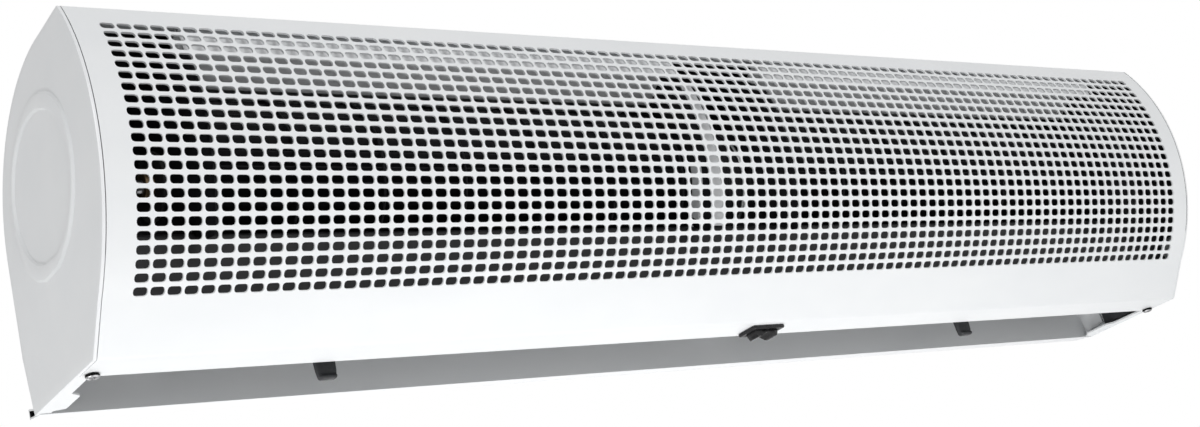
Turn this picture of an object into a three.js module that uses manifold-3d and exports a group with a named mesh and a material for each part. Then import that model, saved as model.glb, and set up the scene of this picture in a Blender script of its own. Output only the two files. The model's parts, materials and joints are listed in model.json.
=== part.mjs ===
// A wall-mounted air curtain, 900 mm class: two cross-flow fan drums on one motor, in a bent sheet casing.
//
// Millimetres. The model runs along X, with the wall behind it at Y = 0, the room at negative Y and +Z up.
// Most pieces are sections carried along X. A section is drawn in two measures: depth, out from the wall
// into the room, and height, up from the outlet plane, which is the unit's flat underside.

import * as THREE from 'three';
import { mergeGeometries, mergeVertices } from 'three/addons/utils/BufferGeometryUtils.js';
import Module from 'manifold-3d';

const wasm = await Module();
wasm.setup();

// ---------------------------------------------------------------- sizes of the casing
const LENGTH = 900; // over both end plates
const SHEET = 1.2; // painted steel of the shell, the cover, the scrolls and the tongue
const GAP = 0.4; // between pieces that touch
const SNUG = 0.1; // round pieces pushed into one another
const RUNNING = 0.05; // what turns, in its bearing
const STAND_OFF = 9; // wall to the shell's flat back
const TOP_HEIGHT = 186; // outlet plane to the shell's flat top
const BACK_RADIUS = 95; // round from the back into the top
const FRONT_DEPTH = 20; // centre of the cover's round front
const FRONT_DROP = 72; // from the shell's top down to that centre
const FRONT_RADIUS = 135;
const FIELD_TOP = 27.2; // degrees above level where the perforated field starts
const FIELD_BOTTOM = -41; // and where it ends, below level
const BEND_DEPTH = 103.5; // where the plain band meets the underside
const LIP_DEPTH = 76; // front edge of the outlet
const LIP_FOLD = 9; // the lip turned up inside
const RIDGE_FLANGE = 17; // the cover hooked back over the shell's top
const RIDGE_INSET = 5; // the shell's front edge behind the cover
const MOUTH_DEPTH = 14; // rear edge of the outlet
const MOUTH_TAPER = 30; // height below which the shell's back leans towards the outlet
const HEM_TOP = 8.2; // folded hem that rests on the wall under the outlet's rear edge
const HEM_BOTTOM = 2;

const FIELD_COLUMNS = 36;
const FIELD_ROWS = 9;
const FIELD_MARGIN = 13; // from the cover's end to the perforated field
const HOLE_WIDTH = 20;
const HOLE_HEIGHT = 12;
const PUNCH_DEPTH = 10;

const END_PLATE = 2; // thickness
const OVAL_LONG = 105; // the pressing in each end plate
const CIRCLE = 90;
const PRESSING = 0.8; // each step of it
const OVAL_TILT = 33; // degrees, leaning to the room
const OUTLET_FLANGE = 8; // end plate's flange along the outlet
const FLANGE_BULGE = 14.5;
const FLANGE_FRONT = 14; // how far it runs past the outlet's front edge
const BULGE_FROM = 20; // depths between which the flange is wider
const BULGE_TO = 46;
const SHELL_FLANGE = 20; // the shell's own flange behind each end plate

// ---------------------------------------------------------------- sizes of the air path
const AXIS_TO_BACK = 66.6; // from the fans' axis to the shell's flat back
const AXIS_TO_ROUND = 61.7; // and to its round, where that is nearest
const DRUM_RADIUS = 50;
const DRUM_INNER = 39; // inner edge of the blades
const BLADES = 24;
const BLADE_THICKNESS = 1.4;
const DRUM_RINGS = 3; // two end discs and one ring between them
const DISC = 1.6;
const RING_LAP = 3; // the middle ring reaches inside the blades
const DRUM_END_GAP = 6; // drum to the bulkheads
const SCROLL_GAP = 5.5; // drum to the scroll where it is nearest
const SCROLL_OPENING = 4.5; // how much wider the scroll is at the back
const SCROLL_START = 60; // degrees above level
const SCROLL_END = 188;
const SCROLL_BACK = 3.6; // shell to the scroll's air side, above its foot
const SCROLL_FOOT = 10; // its lower edge, below the bulkheads
const GUIDE_GAP = 10; // cover to the scroll's upper guide
const GUIDE_TO = 13.5; // degrees above level where the guide ends
const TONGUE_GAP = 4; // drum to the tongue's nose
const NOSE_RADIUS = 4;
const NOSE_ANGLE = -54; // degrees, from the axis to the nose
const TONGUE_WALL = 33; // height of the outlet's upright front wall
const TONGUE_SHARE = 0.743; // how far up the cover's plain band the tongue reaches down to
const TONGUE_CLEAR = 0.75; // to that band
const TONGUE_END = 10; // from the unit's end to the tongue's

const BULKHEAD = 1.5;
const END_BAY = 64; // from the unit's end to the end bulkhead
const MOTOR_BULKHEAD = 37; // from the middle of the unit
const BULKHEAD_BOTTOM = 46;
const BULKHEAD_GAP = 2; // to the cover, the shell and the tongue
const BULKHEAD_FRONT = [-27, 20]; // degrees over which its front edge follows the cover
const BULKHEAD_BACK = [95, 180]; // and its rear edge the shell
const FOOT_WIDTH = 12; // bulkhead's flange on the shell's back
const FOOT_INSET = 1; // its upper end, below the back's round
const GRILLE_STRIP = 9; // upright flange of the left motor bulkhead, behind the cover

// ---------------------------------------------------------------- sizes of the drive
const SHAFT_RADIUS = 4;
const HUB_RADIUS = 13;
const HUB_FLANGE = 22;
const HUB_LENGTH = 14;
const FLANGE_THICKNESS = 2;
const BLADE_SWEEP = 9; // degrees that a blade's outer edge leads its inner one
const AXLE_LENGTH = 18;
const BEARING_RADIUS = 8;
const BEARING_LENGTH = 12;
const HOLDER_RADIUS = 20; // rubber holder in the end bulkhead
const HOLDER_LENGTH = 7;
const GROOVE = 2.5; // depth of the groove that sits on the bulkhead's edge
const MOTOR_RADIUS = 38;
const MOTOR_WALL = 2.4;
const MOTOR_HALF = 17; // half the can's length
const BELL_DEPTH = 7; // end bell beyond the can
const BELL_STEP = 9; // its slope, from the can's radius inwards
const BOSS_RADIUS = 12;
const RING_RADIUS = 18; // rubber ring in the motor bulkhead
const RING_LENGTH = 7;
const CORE_RADIUS = 22; // of the rotor
const CORE_HALF = 12;
const TEETH = 12; // of the stator
const SLOT_RADIUS = 30;
const AIR_GAP = 0.6; // rotor to stator
const WINDING_INNER = 25;
const WINDING_OUTER = 34;
const WINDING_LENGTH = 4;

// ---------------------------------------------------------------- sizes of the vane, switch and fittings
const VANE_DEPTH = 60;
const VANE_CHORD = 34;
const VANE_THICKNESS = 3.2;
const VANE_EDGE = 1.2; // thickness at its long edges
const VANE_HEIGHT = 25; // of its pivot
const VANE_END = 8; // from the unit's end to the vane's
const PIN_RADIUS = 2;
const PIN_LENGTH = 3.4;
const TAB_LEFT_IN = 155; // finger tabs, from the unit's left and right end
const TAB_RIGHT_IN = 205;
const TAB_WIDTH = 15;
const TAB_TIP = 10.5;
const TAB_REACH = 10; // below the outlet plane
const TAB_GRIP = 6; // how far it reaches up the vane
const TAB_HALF = 2.4; // half its thickness
const BRACKET_REAR = 24; // from the vane's pivot to the bracket's edges
const BRACKET_FRONT = 14;
const BRACKET_TOP = 17;
const BRACKET_BOSS = 5;
const BRACKET_THICKNESS = 3.6;

const SWITCH_X = 17;
const SWITCH_DEPTH = 89;
const BEZEL_LENGTH = 28;
const BEZEL_WIDTH = 18;
const BEZEL_THICKNESS = 2;
const BODY_LENGTH = 23.2;
const BODY_WIDTH = 14.2;
const BODY_HEIGHT = 23;
const BODY_WALL = 1.2;
const WELL = 9; // depth of the well that the rocker sits in
const ROCKER_DROP = 6.5; // below the outlet plane
const ROCKER_VALLEY = 3.8;
const ROCKER_PIVOT = 2.4; // height
const ROCKER_END_CLEAR = 1.1; // to the well's ends, for its swing
const ROCKER_SIDE_CLEAR = 0.5;
const ROCKER_PIN = 1.2;
const TERMINAL_WIDTH = 6.3;
const TERMINAL_SHEET = 0.8;
const TERMINAL_LENGTH = 9;

const HANGER_IN = 130; // from the unit's end to the wall plate's
const HANGER_BOTTOM = 44;
const HANGER_TOP = 108;
const HANGER_SHEET = 1.5;
const HANGER_FLANGE = 5;
const HOOK_IN = 100; // from the wall plate's end to the middle of its hook
const HOOK_WIDTH = 40;
const HOOK_HEIGHT = 84;
const HOOK_REACH = 4.5; // beyond the shell's back
const HOOK_LIP = 10;
const SLOT_CLEAR = 2; // the shell's slot beyond the hook's sides
const SLOT_DROP = 13; // how far the shell's slot reaches down, to pass the hook's lip
const KEYHOLE_IN = 30; // from the wall plate's end
const KEYHOLE_RISE = 20; // from its lower edge
const KEYHOLE_RADIUS = 3.2;
const KEYHOLE_HEAD = 6;

const ELECTRIC_IN = 33; // from the unit's right end to the middle of the cable's hole
const CAPACITOR = [20, 40, 26]; // along X, depth, height
const CAPACITOR_BACK = 3.6; // its middle is nearer the wall than the fans' axis
const CAPACITOR_ABOVE = 40.6; // and above it
const STRAP_WIDTH = 9;
const STRAP_SHEET = 1;
const STRAP_EAR = 6;
const BLOCK_LENGTH = 32; // terminal block
const BLOCK_HEIGHT = 76; // of its middle
const BLOCK_BASE = [7, 16]; // depth, height
const BLOCK_RIDGE = [14, 9];
const BLOCK_POLES = 4;
const GROMMET_HEIGHT = 52;
const GROMMET_RADIUS = 8; // in the shell's hole
const GROMMET_BORE = 4.5;
const GROMMET_RIM = 2.2;
const GROMMET_LENGTH = 5.6;

const SCREW_FACETS = 8;
const SCREW_RADIUS = 2;
const SCREW_HEAD = 4;
const HEAD_HEIGHT = 2.4;
const FOOT_SCREW_LOW = 8; // from the lower and upper ends of the bulkhead's foot
const FOOT_SCREW_HIGH = 10;
const COVER_SCREW_IN = 5.5; // from the end of the cover
const COVER_SCREW_DEPTH = 81;
const COVER_SCREW_LENGTH = 8;

// ---------------------------------------------------------------- places that follow from these sizes
const FRONT_HEIGHT = TOP_HEIGHT - FRONT_DROP;
const BACK_CENTRE_DEPTH = STAND_OFF + BACK_RADIUS;
const BACK_CENTRE_HEIGHT = TOP_HEIGHT - BACK_RADIUS;
const AXIS_DEPTH = STAND_OFF + AXIS_TO_BACK;
const AXIS_HEIGHT = BACK_CENTRE_HEIGHT + Math.sqrt(
  (BACK_RADIUS - AXIS_TO_ROUND) ** 2 - (BACK_CENTRE_DEPTH - AXIS_DEPTH) ** 2,
);
const FOOT_TOP = BACK_CENTRE_HEIGHT - FOOT_INSET;
const CAPACITOR_DEPTH = AXIS_DEPTH - CAPACITOR_BACK;
const CAPACITOR_HEIGHT = AXIS_HEIGHT + CAPACITOR_ABOVE;
const END_BULKHEAD = LENGTH / 2 - END_BAY; // from the middle of the unit
const TONGUE_HALF = LENGTH / 2 - TONGUE_END;
const VANE_HALF = LENGTH / 2 - VANE_END;
const TAB_LEFT = TAB_LEFT_IN - LENGTH / 2;
const TAB_RIGHT = LENGTH / 2 - TAB_RIGHT_IN;
const HANGER_LENGTH = LENGTH - 2 * HANGER_IN;
const HOOK_X = HANGER_LENGTH / 2 - HOOK_IN;
const KEYHOLE_X = HANGER_LENGTH / 2 - KEYHOLE_IN;
const END_BAY_X = LENGTH / 2 - ELECTRIC_IN;
const WALL_FACE_HEIGHT = (HANGER_BOTTOM + HANGER_TOP) / 2; // the origin is the middle of the face on the wall

// ---------------------------------------------------------------- finishes
const finish = (color, roughness, metalness) => new THREE.MeshStandardMaterial({
  color, roughness, metalness,
});
const whitePaint = () => finish(0xf2f4f5, 0.35, 0.0);
const greyPaint = () => finish(0xd8dadb, 0.45, 0.0);
const darkPaint = () => finish(0x26282b, 0.4, 0.0);
const zincSheet = () => finish(0xb9bcbe, 0.4, 0.9);
const aluminium = () => finish(0xc8cacc, 0.3, 1.0);
const steel = () => finish(0x9a9ca0, 0.3, 1.0);
const blackPlastic = () => finish(0x141416, 0.4, 0.0);
const darkPlastic = () => finish(0x3a3b3e, 0.5, 0.0);
const rubber = () => finish(0x1c1c1c, 0.85, 0.0);
const copper = () => finish(0x9c4a24, 0.4, 0.8);
const brass = () => finish(0xb08d3c, 0.35, 1.0);
const capacitorCase = () => finish(0xe4e4de, 0.5, 0.0);

// ---------------------------------------------------------------- drawing in the section
const radians = THREE.MathUtils.degToRad;

/** The point of the section at a depth out from the wall and a height above the outlet plane. */
const at = (depth, height) => new THREE.Vector2(-depth, height);

/** Points on an arc about (depth, height), its angles in degrees from level towards the room. */
function arc(depth, height, radius, from, to, steps) {
  return Array.from({ length: steps + 1 }, (_, i) => {
    const angle = radians(from + ((to - from) * i) / steps);
    return at(depth + radius * Math.cos(angle), height + radius * Math.sin(angle));
  });
}

/** The same line moved sideways, to the left of its direction, with its corners mitred. */
function beside(line, distance) {
  return line.map((point, i) => {
    const before = i > 0 ? line[i].clone().sub(line[i - 1]).normalize() : null;
    const after = i < line.length - 1 ? line[i + 1].clone().sub(line[i]).normalize() : null;
    const normals = [before, after].filter(Boolean).map((d) => new THREE.Vector2(-d.y, d.x));
    const mean = normals.reduce((sum, n) => sum.add(n), new THREE.Vector2()).normalize();
    return point.clone().addScaledVector(mean, distance / mean.dot(normals[0]));
  });
}

/** The section of a bent sheet, from the line of one of its faces. */
const sheet = (line, thickness = SHEET) => new THREE.Shape([...line, ...beside(line, thickness).reverse()]);

const rectangle = (depthFrom, depthTo, heightFrom, heightTo) => new THREE.Shape([
  at(depthFrom, heightFrom), at(depthTo, heightFrom), at(depthTo, heightTo), at(depthFrom, heightTo),
]);

/** The direction of local x, y and z of a drawn section: depth, height and along the unit. */
const SECTION = new THREE.Matrix4().makeBasis(
  new THREE.Vector3(0, 1, 0), new THREE.Vector3(0, 0, 1), new THREE.Vector3(1, 0, 0),
);

/** A section carried along X. */
function carried(shape, from, to) {
  const body = new THREE.ExtrudeGeometry(shape, { depth: to - from, bevelEnabled: false, curveSegments: 8 });
  return body.applyMatrix4(SECTION).translate(from, 0, 0);
}

/** The same between two places, whichever comes first. */
const carriedBetween = (shape, a, b) => carried(shape, Math.min(a, b), Math.max(a, b));

/** A profile of [place on the axis, radius] points, turned about the Y axis with its faces outwards. */
function lathed(profile, segments = 24) {
  const line = profile.map(([place, radius]) => new THREE.Vector2(radius, place));
  if (THREE.ShapeUtils.area(line) < 0) line.reverse();
  if (line[0].x > 0 || line.at(-1).x > 0) line.push(line[0]);
  return new THREE.LatheGeometry(line, segments);
}

/** The same about an axis along X: the fans' axis, or another. */
const turned = (profile, depth = AXIS_DEPTH, height = AXIS_HEIGHT, segments = 24) => lathed(profile, segments)
  .rotateZ(-Math.PI / 2).translate(0, -depth, height);

/** The profile of a ring whose outer groove sits on the edge of a sheet at a place on the axis. */
const groovedRing = (place, bore, radius, length, thickness) => [
  [-length / 2, bore], [length / 2, bore], [length / 2, radius], [(thickness + GAP) / 2, radius],
  [(thickness + GAP) / 2, radius - GROOVE], [-(thickness + GAP) / 2, radius - GROOVE],
  [-(thickness + GAP) / 2, radius], [-length / 2, radius],
].map(([offset, r]) => [place + offset, r]);

/** Radius of the corners of a bore with flat facets, so that the facets clear a round piece. */
const boreCorner = (radius, clearance, segments = 24) => (radius + clearance) / Math.cos(Math.PI / segments);

/** A block between two corners, each as x, depth, height. */
function block([x0, d0, h0], [x1, d1, h1]) {
  const body = new THREE.BoxGeometry(Math.abs(x1 - x0), Math.abs(d1 - d0), Math.abs(h1 - h0));
  return body.translate((x0 + x1) / 2, -(d0 + d1) / 2, (h0 + h1) / 2);
}

/** The direction of local x, y and z of a shape seen from the room: along the unit, up, out of the wall. */
const FRONT_VIEW = new THREE.Matrix4().makeBasis(
  new THREE.Vector3(1, 0, 0), new THREE.Vector3(0, 0, 1), new THREE.Vector3(0, -1, 0),
);

/** A shape of [x, height] points, seen from the room, carried from one depth to another. */
function across(points, depthFrom, depthTo) {
  const shape = new THREE.Shape(points.map(([x, height]) => new THREE.Vector2(x, height)));
  const body = new THREE.ExtrudeGeometry(shape, { depth: depthTo - depthFrom, bevelEnabled: false });
  return body.applyMatrix4(FRONT_VIEW).translate(0, -depthFrom, 0);
}

/** A round bar along depth. */
function barAlongDepth(x, height, radius, depthFrom, depthTo, segments = 16) {
  const body = new THREE.CylinderGeometry(radius, radius, depthTo - depthFrom, segments);
  return body.translate(x, -(depthFrom + depthTo) / 2, height);
}

/** A round bar upright. */
function barUpright(x, depth, radius, heightFrom, heightTo, segments = 16) {
  const body = new THREE.CylinderGeometry(radius, radius, heightTo - heightFrom, segments);
  return body.rotateX(Math.PI / 2).translate(x, -depth, (heightFrom + heightTo) / 2);
}

// ---------------------------------------------------------------- solids, joined and cut
/** Closed bodies that don't touch each other, as one solid. */
function solid(...geometries) {
  const bare = geometries.map((geometry) => {
    const loose = geometry.index ? geometry.toNonIndexed() : geometry.clone();
    loose.deleteAttribute('normal');
    loose.deleteAttribute('uv');
    return loose;
  });
  const welded = mergeVertices(mergeGeometries(bare), 1e-4);
  const corners = welded.index.array;
  const triangles = [];
  for (let i = 0; i < corners.length; i += 3) {
    const [a, b, c] = [corners[i], corners[i + 1], corners[i + 2]];
    if (a !== b && b !== c && c !== a) triangles.push(a, b, c);
  }
  return new wasm.Manifold(new wasm.Mesh({
    numProp: 3,
    vertProperties: new Float32Array(welded.attributes.position.array),
    triVerts: new Uint32Array(triangles),
  }));
}

const airCurtain = new THREE.Group();

/** Adds a named piece, from a solid or from one closed geometry. */
function add(name, piece, material) {
  let geometry = piece;
  if (!piece.isBufferGeometry) {
    const { vertProperties, triVerts } = piece.getMesh();
    geometry = new THREE.BufferGeometry();
    geometry.setAttribute('position', new THREE.BufferAttribute(vertProperties, 3));
    geometry.setIndex(new THREE.BufferAttribute(triVerts, 1));
    geometry.computeVertexNormals();
  }
  const mesh = new THREE.Mesh(geometry, material);
  mesh.name = name;
  airCurtain.add(mesh);
}

// The two ends mirror each other: left is at negative X.
const SIDES = [['left', -1], ['right', 1]];

// ---------------------------------------------------------------- the casing's lines
const onFront = (degrees, inset = 0) => arc(
  FRONT_DEPTH, FRONT_HEIGHT, FRONT_RADIUS - inset, degrees, degrees, 1,
)[0];

const COVER_TOP = TOP_HEIGHT + GAP + SHEET;
const RIDGE_ANGLE = THREE.MathUtils.radToDeg(Math.asin((COVER_TOP - FRONT_HEIGHT) / FRONT_RADIUS));
const RIDGE_DEPTH = FRONT_DEPTH + FRONT_RADIUS * Math.cos(radians(RIDGE_ANGLE));
const COVER_END = LENGTH / 2 - END_PLATE - GAP; // half the length of the cover and the shell

/** The cover's outer face, from its flange on the shell's top to its lip. */
const frontLine = [
  at(RIDGE_DEPTH, COVER_TOP),
  ...arc(FRONT_DEPTH, FRONT_HEIGHT, FRONT_RADIUS, FIELD_TOP, FIELD_BOTTOM, FIELD_ROWS),
  at(BEND_DEPTH, 0),
];

/** The shell's outer face, from the outlet up to its top. */
const backLine = [
  at(MOUTH_DEPTH, 0),
  at(STAND_OFF, MOUTH_TAPER),
  ...arc(BACK_CENTRE_DEPTH, BACK_CENTRE_HEIGHT, BACK_RADIUS, 180, 90, 9),
];

// ---------------------------------------------------------------- rear shell
const TOP_FOLD = 10; // the shell's front edge turned down under the cover
const FLANGE_CLEAR = 2 * SHEET + 3 * GAP; // the shell's end flange starts above the end plate's flange
const shellTopEdge = RIDGE_DEPTH - SHEET - RIDGE_INSET;
const shellLine = [...backLine, at(shellTopEdge, TOP_HEIGHT), at(shellTopEdge, TOP_HEIGHT - TOP_FOLD)];
// The hem is folded back to the wall, up along it and forward again onto the shell.
const hem = new THREE.Shape([
  at(MOUTH_DEPTH + SHEET / 2, 0), at(0, HEM_BOTTOM), at(0, HEM_TOP), at(MOUTH_DEPTH, HEM_TOP / 2),
]);
hem.holes.push(new THREE.Path([
  at(MOUTH_DEPTH - SHEET, 1.4 * SHEET), at(SHEET, HEM_BOTTOM + SHEET), at(SHEET, HEM_TOP - 1.25 * SHEET),
]));

const endFlangeLine = [
  at(STAND_OFF + (MOUTH_DEPTH - STAND_OFF) * (1 - FLANGE_CLEAR / MOUTH_TAPER), FLANGE_CLEAR),
  ...backLine.slice(1), at(shellTopEdge, TOP_HEIGHT),
];
let rearShell = solid(carried(sheet(shellLine), -COVER_END, COVER_END))
  .add(solid(carried(hem, -COVER_END, COVER_END)));
for (const [, side] of SIDES) {
  rearShell = rearShell.add(solid(carriedBetween(
    sheet(endFlangeLine, SHELL_FLANGE), side * COVER_END, side * (COVER_END - SHEET),
  )));
}

const slotTop = HOOK_HEIGHT + HANGER_SHEET + GAP;
const hookEnd = STAND_OFF + HOOK_REACH;
const screwHole = (SCREW_RADIUS + GAP / 2) / Math.cos(Math.PI / SCREW_FACETS);
const bulkheadFeet = [
  ['left_end', -END_BULKHEAD, 1], ['left_motor', -MOTOR_BULKHEAD, -1],
  ['right_motor', MOTOR_BULKHEAD, 1], ['right_end', END_BULKHEAD, -1],
].map(([name, x, turn]) => ({ name, x: x + (turn * FOOT_WIDTH) / 2 }));
const screwPlaces = bulkheadFeet.flatMap(({ name, x }) => [
  { name: `${name}_screw_low`, x, height: BULKHEAD_BOTTOM + FOOT_SCREW_LOW },
  { name: `${name}_screw_high`, x, height: FOOT_TOP - FOOT_SCREW_HIGH },
]);
rearShell = rearShell.subtract(solid(
  ...[-HOOK_X, HOOK_X].map((x) => block(
    [x - HOOK_WIDTH / 2 - SLOT_CLEAR, GAP, slotTop - SLOT_DROP],
    [x + HOOK_WIDTH / 2 + SLOT_CLEAR, hookEnd, slotTop],
  )),
  ...screwPlaces.map(({ x, height }) => (
    barAlongDepth(x, height, screwHole, STAND_OFF - 1, STAND_OFF + 3, SCREW_FACETS))),
  barAlongDepth(END_BAY_X, GROMMET_HEIGHT, GROMMET_RADIUS + GAP, STAND_OFF - 1, STAND_OFF + 3),
));
add('rear_shell', rearShell, whitePaint());

// ---------------------------------------------------------------- front cover and its perforated field
const coverLine = [
  at(RIDGE_DEPTH - RIDGE_FLANGE, COVER_TOP), ...frontLine, at(LIP_DEPTH, 0), at(LIP_DEPTH, LIP_FOLD),
];
const columnPitch = (2 * (COVER_END - FIELD_MARGIN)) / FIELD_COLUMNS;
const rowAngle = (FIELD_TOP - FIELD_BOTTOM) / FIELD_ROWS;
const holes = [];
for (let row = 0; row < FIELD_ROWS; row += 1) {
  const tilt = FIELD_TOP - (row + 0.5) * rowAngle;
  const centre = onFront(tilt);
  for (let column = 0; column < FIELD_COLUMNS; column += 1) {
    const punch = new THREE.BoxGeometry(HOLE_WIDTH, PUNCH_DEPTH, HOLE_HEIGHT);
    punch.rotateX(-radians(tilt)).translate(
      -COVER_END + FIELD_MARGIN + (column + 0.5) * columnPitch, centre.x, centre.y,
    );
    holes.push(punch);
  }
}
const coverScrewX = COVER_END - COVER_SCREW_IN;
const coverScrewHoles = SIDES.map(([, side]) => barUpright(
  side * coverScrewX, COVER_SCREW_DEPTH, screwHole, -COVER_SCREW_LENGTH, COVER_SCREW_LENGTH, SCREW_FACETS,
));
const foldEnd = LENGTH / 2 - OUTLET_FLANGE - 1; // the lip's fold stops short of the end plate's flange
const frontCover = solid(carried(sheet(coverLine), -COVER_END, COVER_END))
  .subtract(solid(
    ...holes,
    block(
      [SWITCH_X - BODY_LENGTH / 2 - GAP, SWITCH_DEPTH - BODY_WIDTH / 2 - GAP, -3],
      [SWITCH_X + BODY_LENGTH / 2 + GAP, SWITCH_DEPTH + BODY_WIDTH / 2 + GAP, 3],
    ),
    ...coverScrewHoles,
    ...SIDES.map(([, side]) => block(
      [side * foldEnd, LIP_DEPTH - 1, SHEET], [side * LENGTH / 2, LIP_DEPTH + SHEET + GAP / 2, LIP_FOLD + 1],
    )),
  ));
add('front_cover', frontCover, whitePaint());

// ---------------------------------------------------------------- end plates
const flangeHeight = SHEET + GAP;
const flangeOutline = [ // depth, width
  [LIP_DEPTH + FLANGE_FRONT, 0], [LIP_DEPTH + FLANGE_FRONT, OUTLET_FLANGE], [BULGE_TO + 6, OUTLET_FLANGE],
  [BULGE_TO, FLANGE_BULGE - 1.5], [BULGE_TO - 5, FLANGE_BULGE], [BULGE_FROM + 5, FLANGE_BULGE],
  [BULGE_FROM, FLANGE_BULGE - 3], [BULGE_FROM - 1, OUTLET_FLANGE], [MOUTH_DEPTH + 1.8, OUTLET_FLANGE],
  [MOUTH_DEPTH + 1.8, 0],
];
const ovalOutline = new THREE.Shape().absellipse(
  -AXIS_DEPTH, AXIS_HEIGHT, CIRCLE / 2, OVAL_LONG / 2, 0, 2 * Math.PI, false, radians(OVAL_TILT),
);
const circleOutline = new THREE.Shape().absarc(-AXIS_DEPTH, AXIS_HEIGHT, CIRCLE / 2 - 3, 0, 2 * Math.PI);
for (const [name, side] of SIDES) {
  const middle = side * (LENGTH - END_PLATE) / 2;
  const raised = (outline, steps) => solid(carriedBetween(
    outline, middle, side * (LENGTH / 2 + steps * PRESSING),
  ));
  const flange = new THREE.ExtrudeGeometry(new THREE.Shape(flangeOutline.map(
    ([depth, width]) => new THREE.Vector2(side * (LENGTH / 2 - END_PLATE / 4 - width), -depth),
  )), { depth: SHEET, bevelEnabled: false }).translate(0, 0, flangeHeight);
  const plate = solid(carriedBetween(
    new THREE.Shape([...frontLine, ...backLine]), side * (LENGTH / 2 - END_PLATE), side * LENGTH / 2,
  )).add(raised(ovalOutline, 1)).add(raised(circleOutline, 2)).add(solid(flange))
    .subtract(solid(...coverScrewHoles));
  add(`end_plate_${name}`, plate, whitePaint());
}

// ---------------------------------------------------------------- wall plate that the unit hangs on
const hangerLine = [
  at(HANGER_FLANGE, HANGER_BOTTOM), at(0, HANGER_BOTTOM), at(0, HANGER_TOP), at(HANGER_FLANGE, HANGER_TOP),
];
const hookLine = [at(0, HOOK_HEIGHT), at(hookEnd, HOOK_HEIGHT), at(hookEnd, HOOK_HEIGHT + HOOK_LIP)];
const keyholeFloor = HANGER_BOTTOM + KEYHOLE_RISE;
const keyholeTop = keyholeFloor + 2.4 * KEYHOLE_HEAD;
let hanger = solid(carried(sheet(hangerLine, HANGER_SHEET), -HANGER_LENGTH / 2, HANGER_LENGTH / 2));
for (const [, side] of SIDES) {
  const [hook, keyhole] = [side * HOOK_X, side * KEYHOLE_X];
  hanger = hanger
    .add(solid(carried(sheet(hookLine, -HANGER_SHEET), hook - HOOK_WIDTH / 2, hook + HOOK_WIDTH / 2)))
    .subtract(solid(barAlongDepth(keyhole, keyholeFloor, KEYHOLE_HEAD, -1, 3)))
    .subtract(solid(barAlongDepth(keyhole, keyholeTop, KEYHOLE_RADIUS, -1, 3)))
    .subtract(solid(block(
      [keyhole - KEYHOLE_RADIUS, -1, keyholeFloor], [keyhole + KEYHOLE_RADIUS, 3, keyholeTop],
    )));
}
add('wall_plate', hanger, zincSheet());

// ---------------------------------------------------------------- scrolls and tongue
const fromAxis = (radius, degrees) => arc(AXIS_DEPTH, AXIS_HEIGHT, radius, degrees, degrees, 1)[0];
const SCROLL_STEPS = 12;
const shellInside = STAND_OFF + SHEET;
/** The scroll's air side: guide behind the cover, down to the drum, a spiral round its back, and its foot. */
const scrollLine = [
  ...arc(FRONT_DEPTH, FRONT_HEIGHT, FRONT_RADIUS - SHEET - GUIDE_GAP, GUIDE_TO, FIELD_TOP, 2),
  ...Array.from({ length: SCROLL_STEPS + 1 }, (_, i) => {
    const share = i / SCROLL_STEPS;
    return fromAxis(DRUM_RADIUS + SCROLL_GAP + SCROLL_OPENING * share,
      SCROLL_START + (SCROLL_END - SCROLL_START) * share);
  }),
  at(shellInside + SCROLL_BACK, BULKHEAD_BOTTOM),
  at(shellInside + GAP + SHEET, BULKHEAD_BOTTOM - SCROLL_BACK),
  at(shellInside + GAP + SHEET, BULKHEAD_BOTTOM - SCROLL_FOOT),
];
const besideBulkhead = BULKHEAD / 2 + GAP;
for (const [name, side] of SIDES) {
  add(`scroll_${name}`, carriedBetween(
    sheet(scrollLine), side * (MOTOR_BULKHEAD + besideBulkhead), side * (END_BULKHEAD - besideBulkhead),
  ), greyPaint());
}

const nose = fromAxis(DRUM_RADIUS + TONGUE_GAP + NOSE_RADIUS, NOSE_ANGLE);
const insideBand = beside([onFront(FIELD_BOTTOM), at(BEND_DEPTH, 0)], SHEET + TONGUE_CLEAR);
/** The tongue's outer face, from the outlet's lip up to the nose by the drum and down to the plain band. */
const tongueLine = [
  at(LIP_DEPTH + SHEET + GAP, flangeHeight),
  at(LIP_DEPTH + SHEET + GAP, TONGUE_WALL),
  ...arc(-nose.x, nose.y, NOSE_RADIUS, 140, -5, 5),
  insideBand[1].clone().lerp(insideBand[0], TONGUE_SHARE),
];
add('tongue_plate', carried(sheet(tongueLine), -TONGUE_HALF, TONGUE_HALF), darkPaint());

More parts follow.
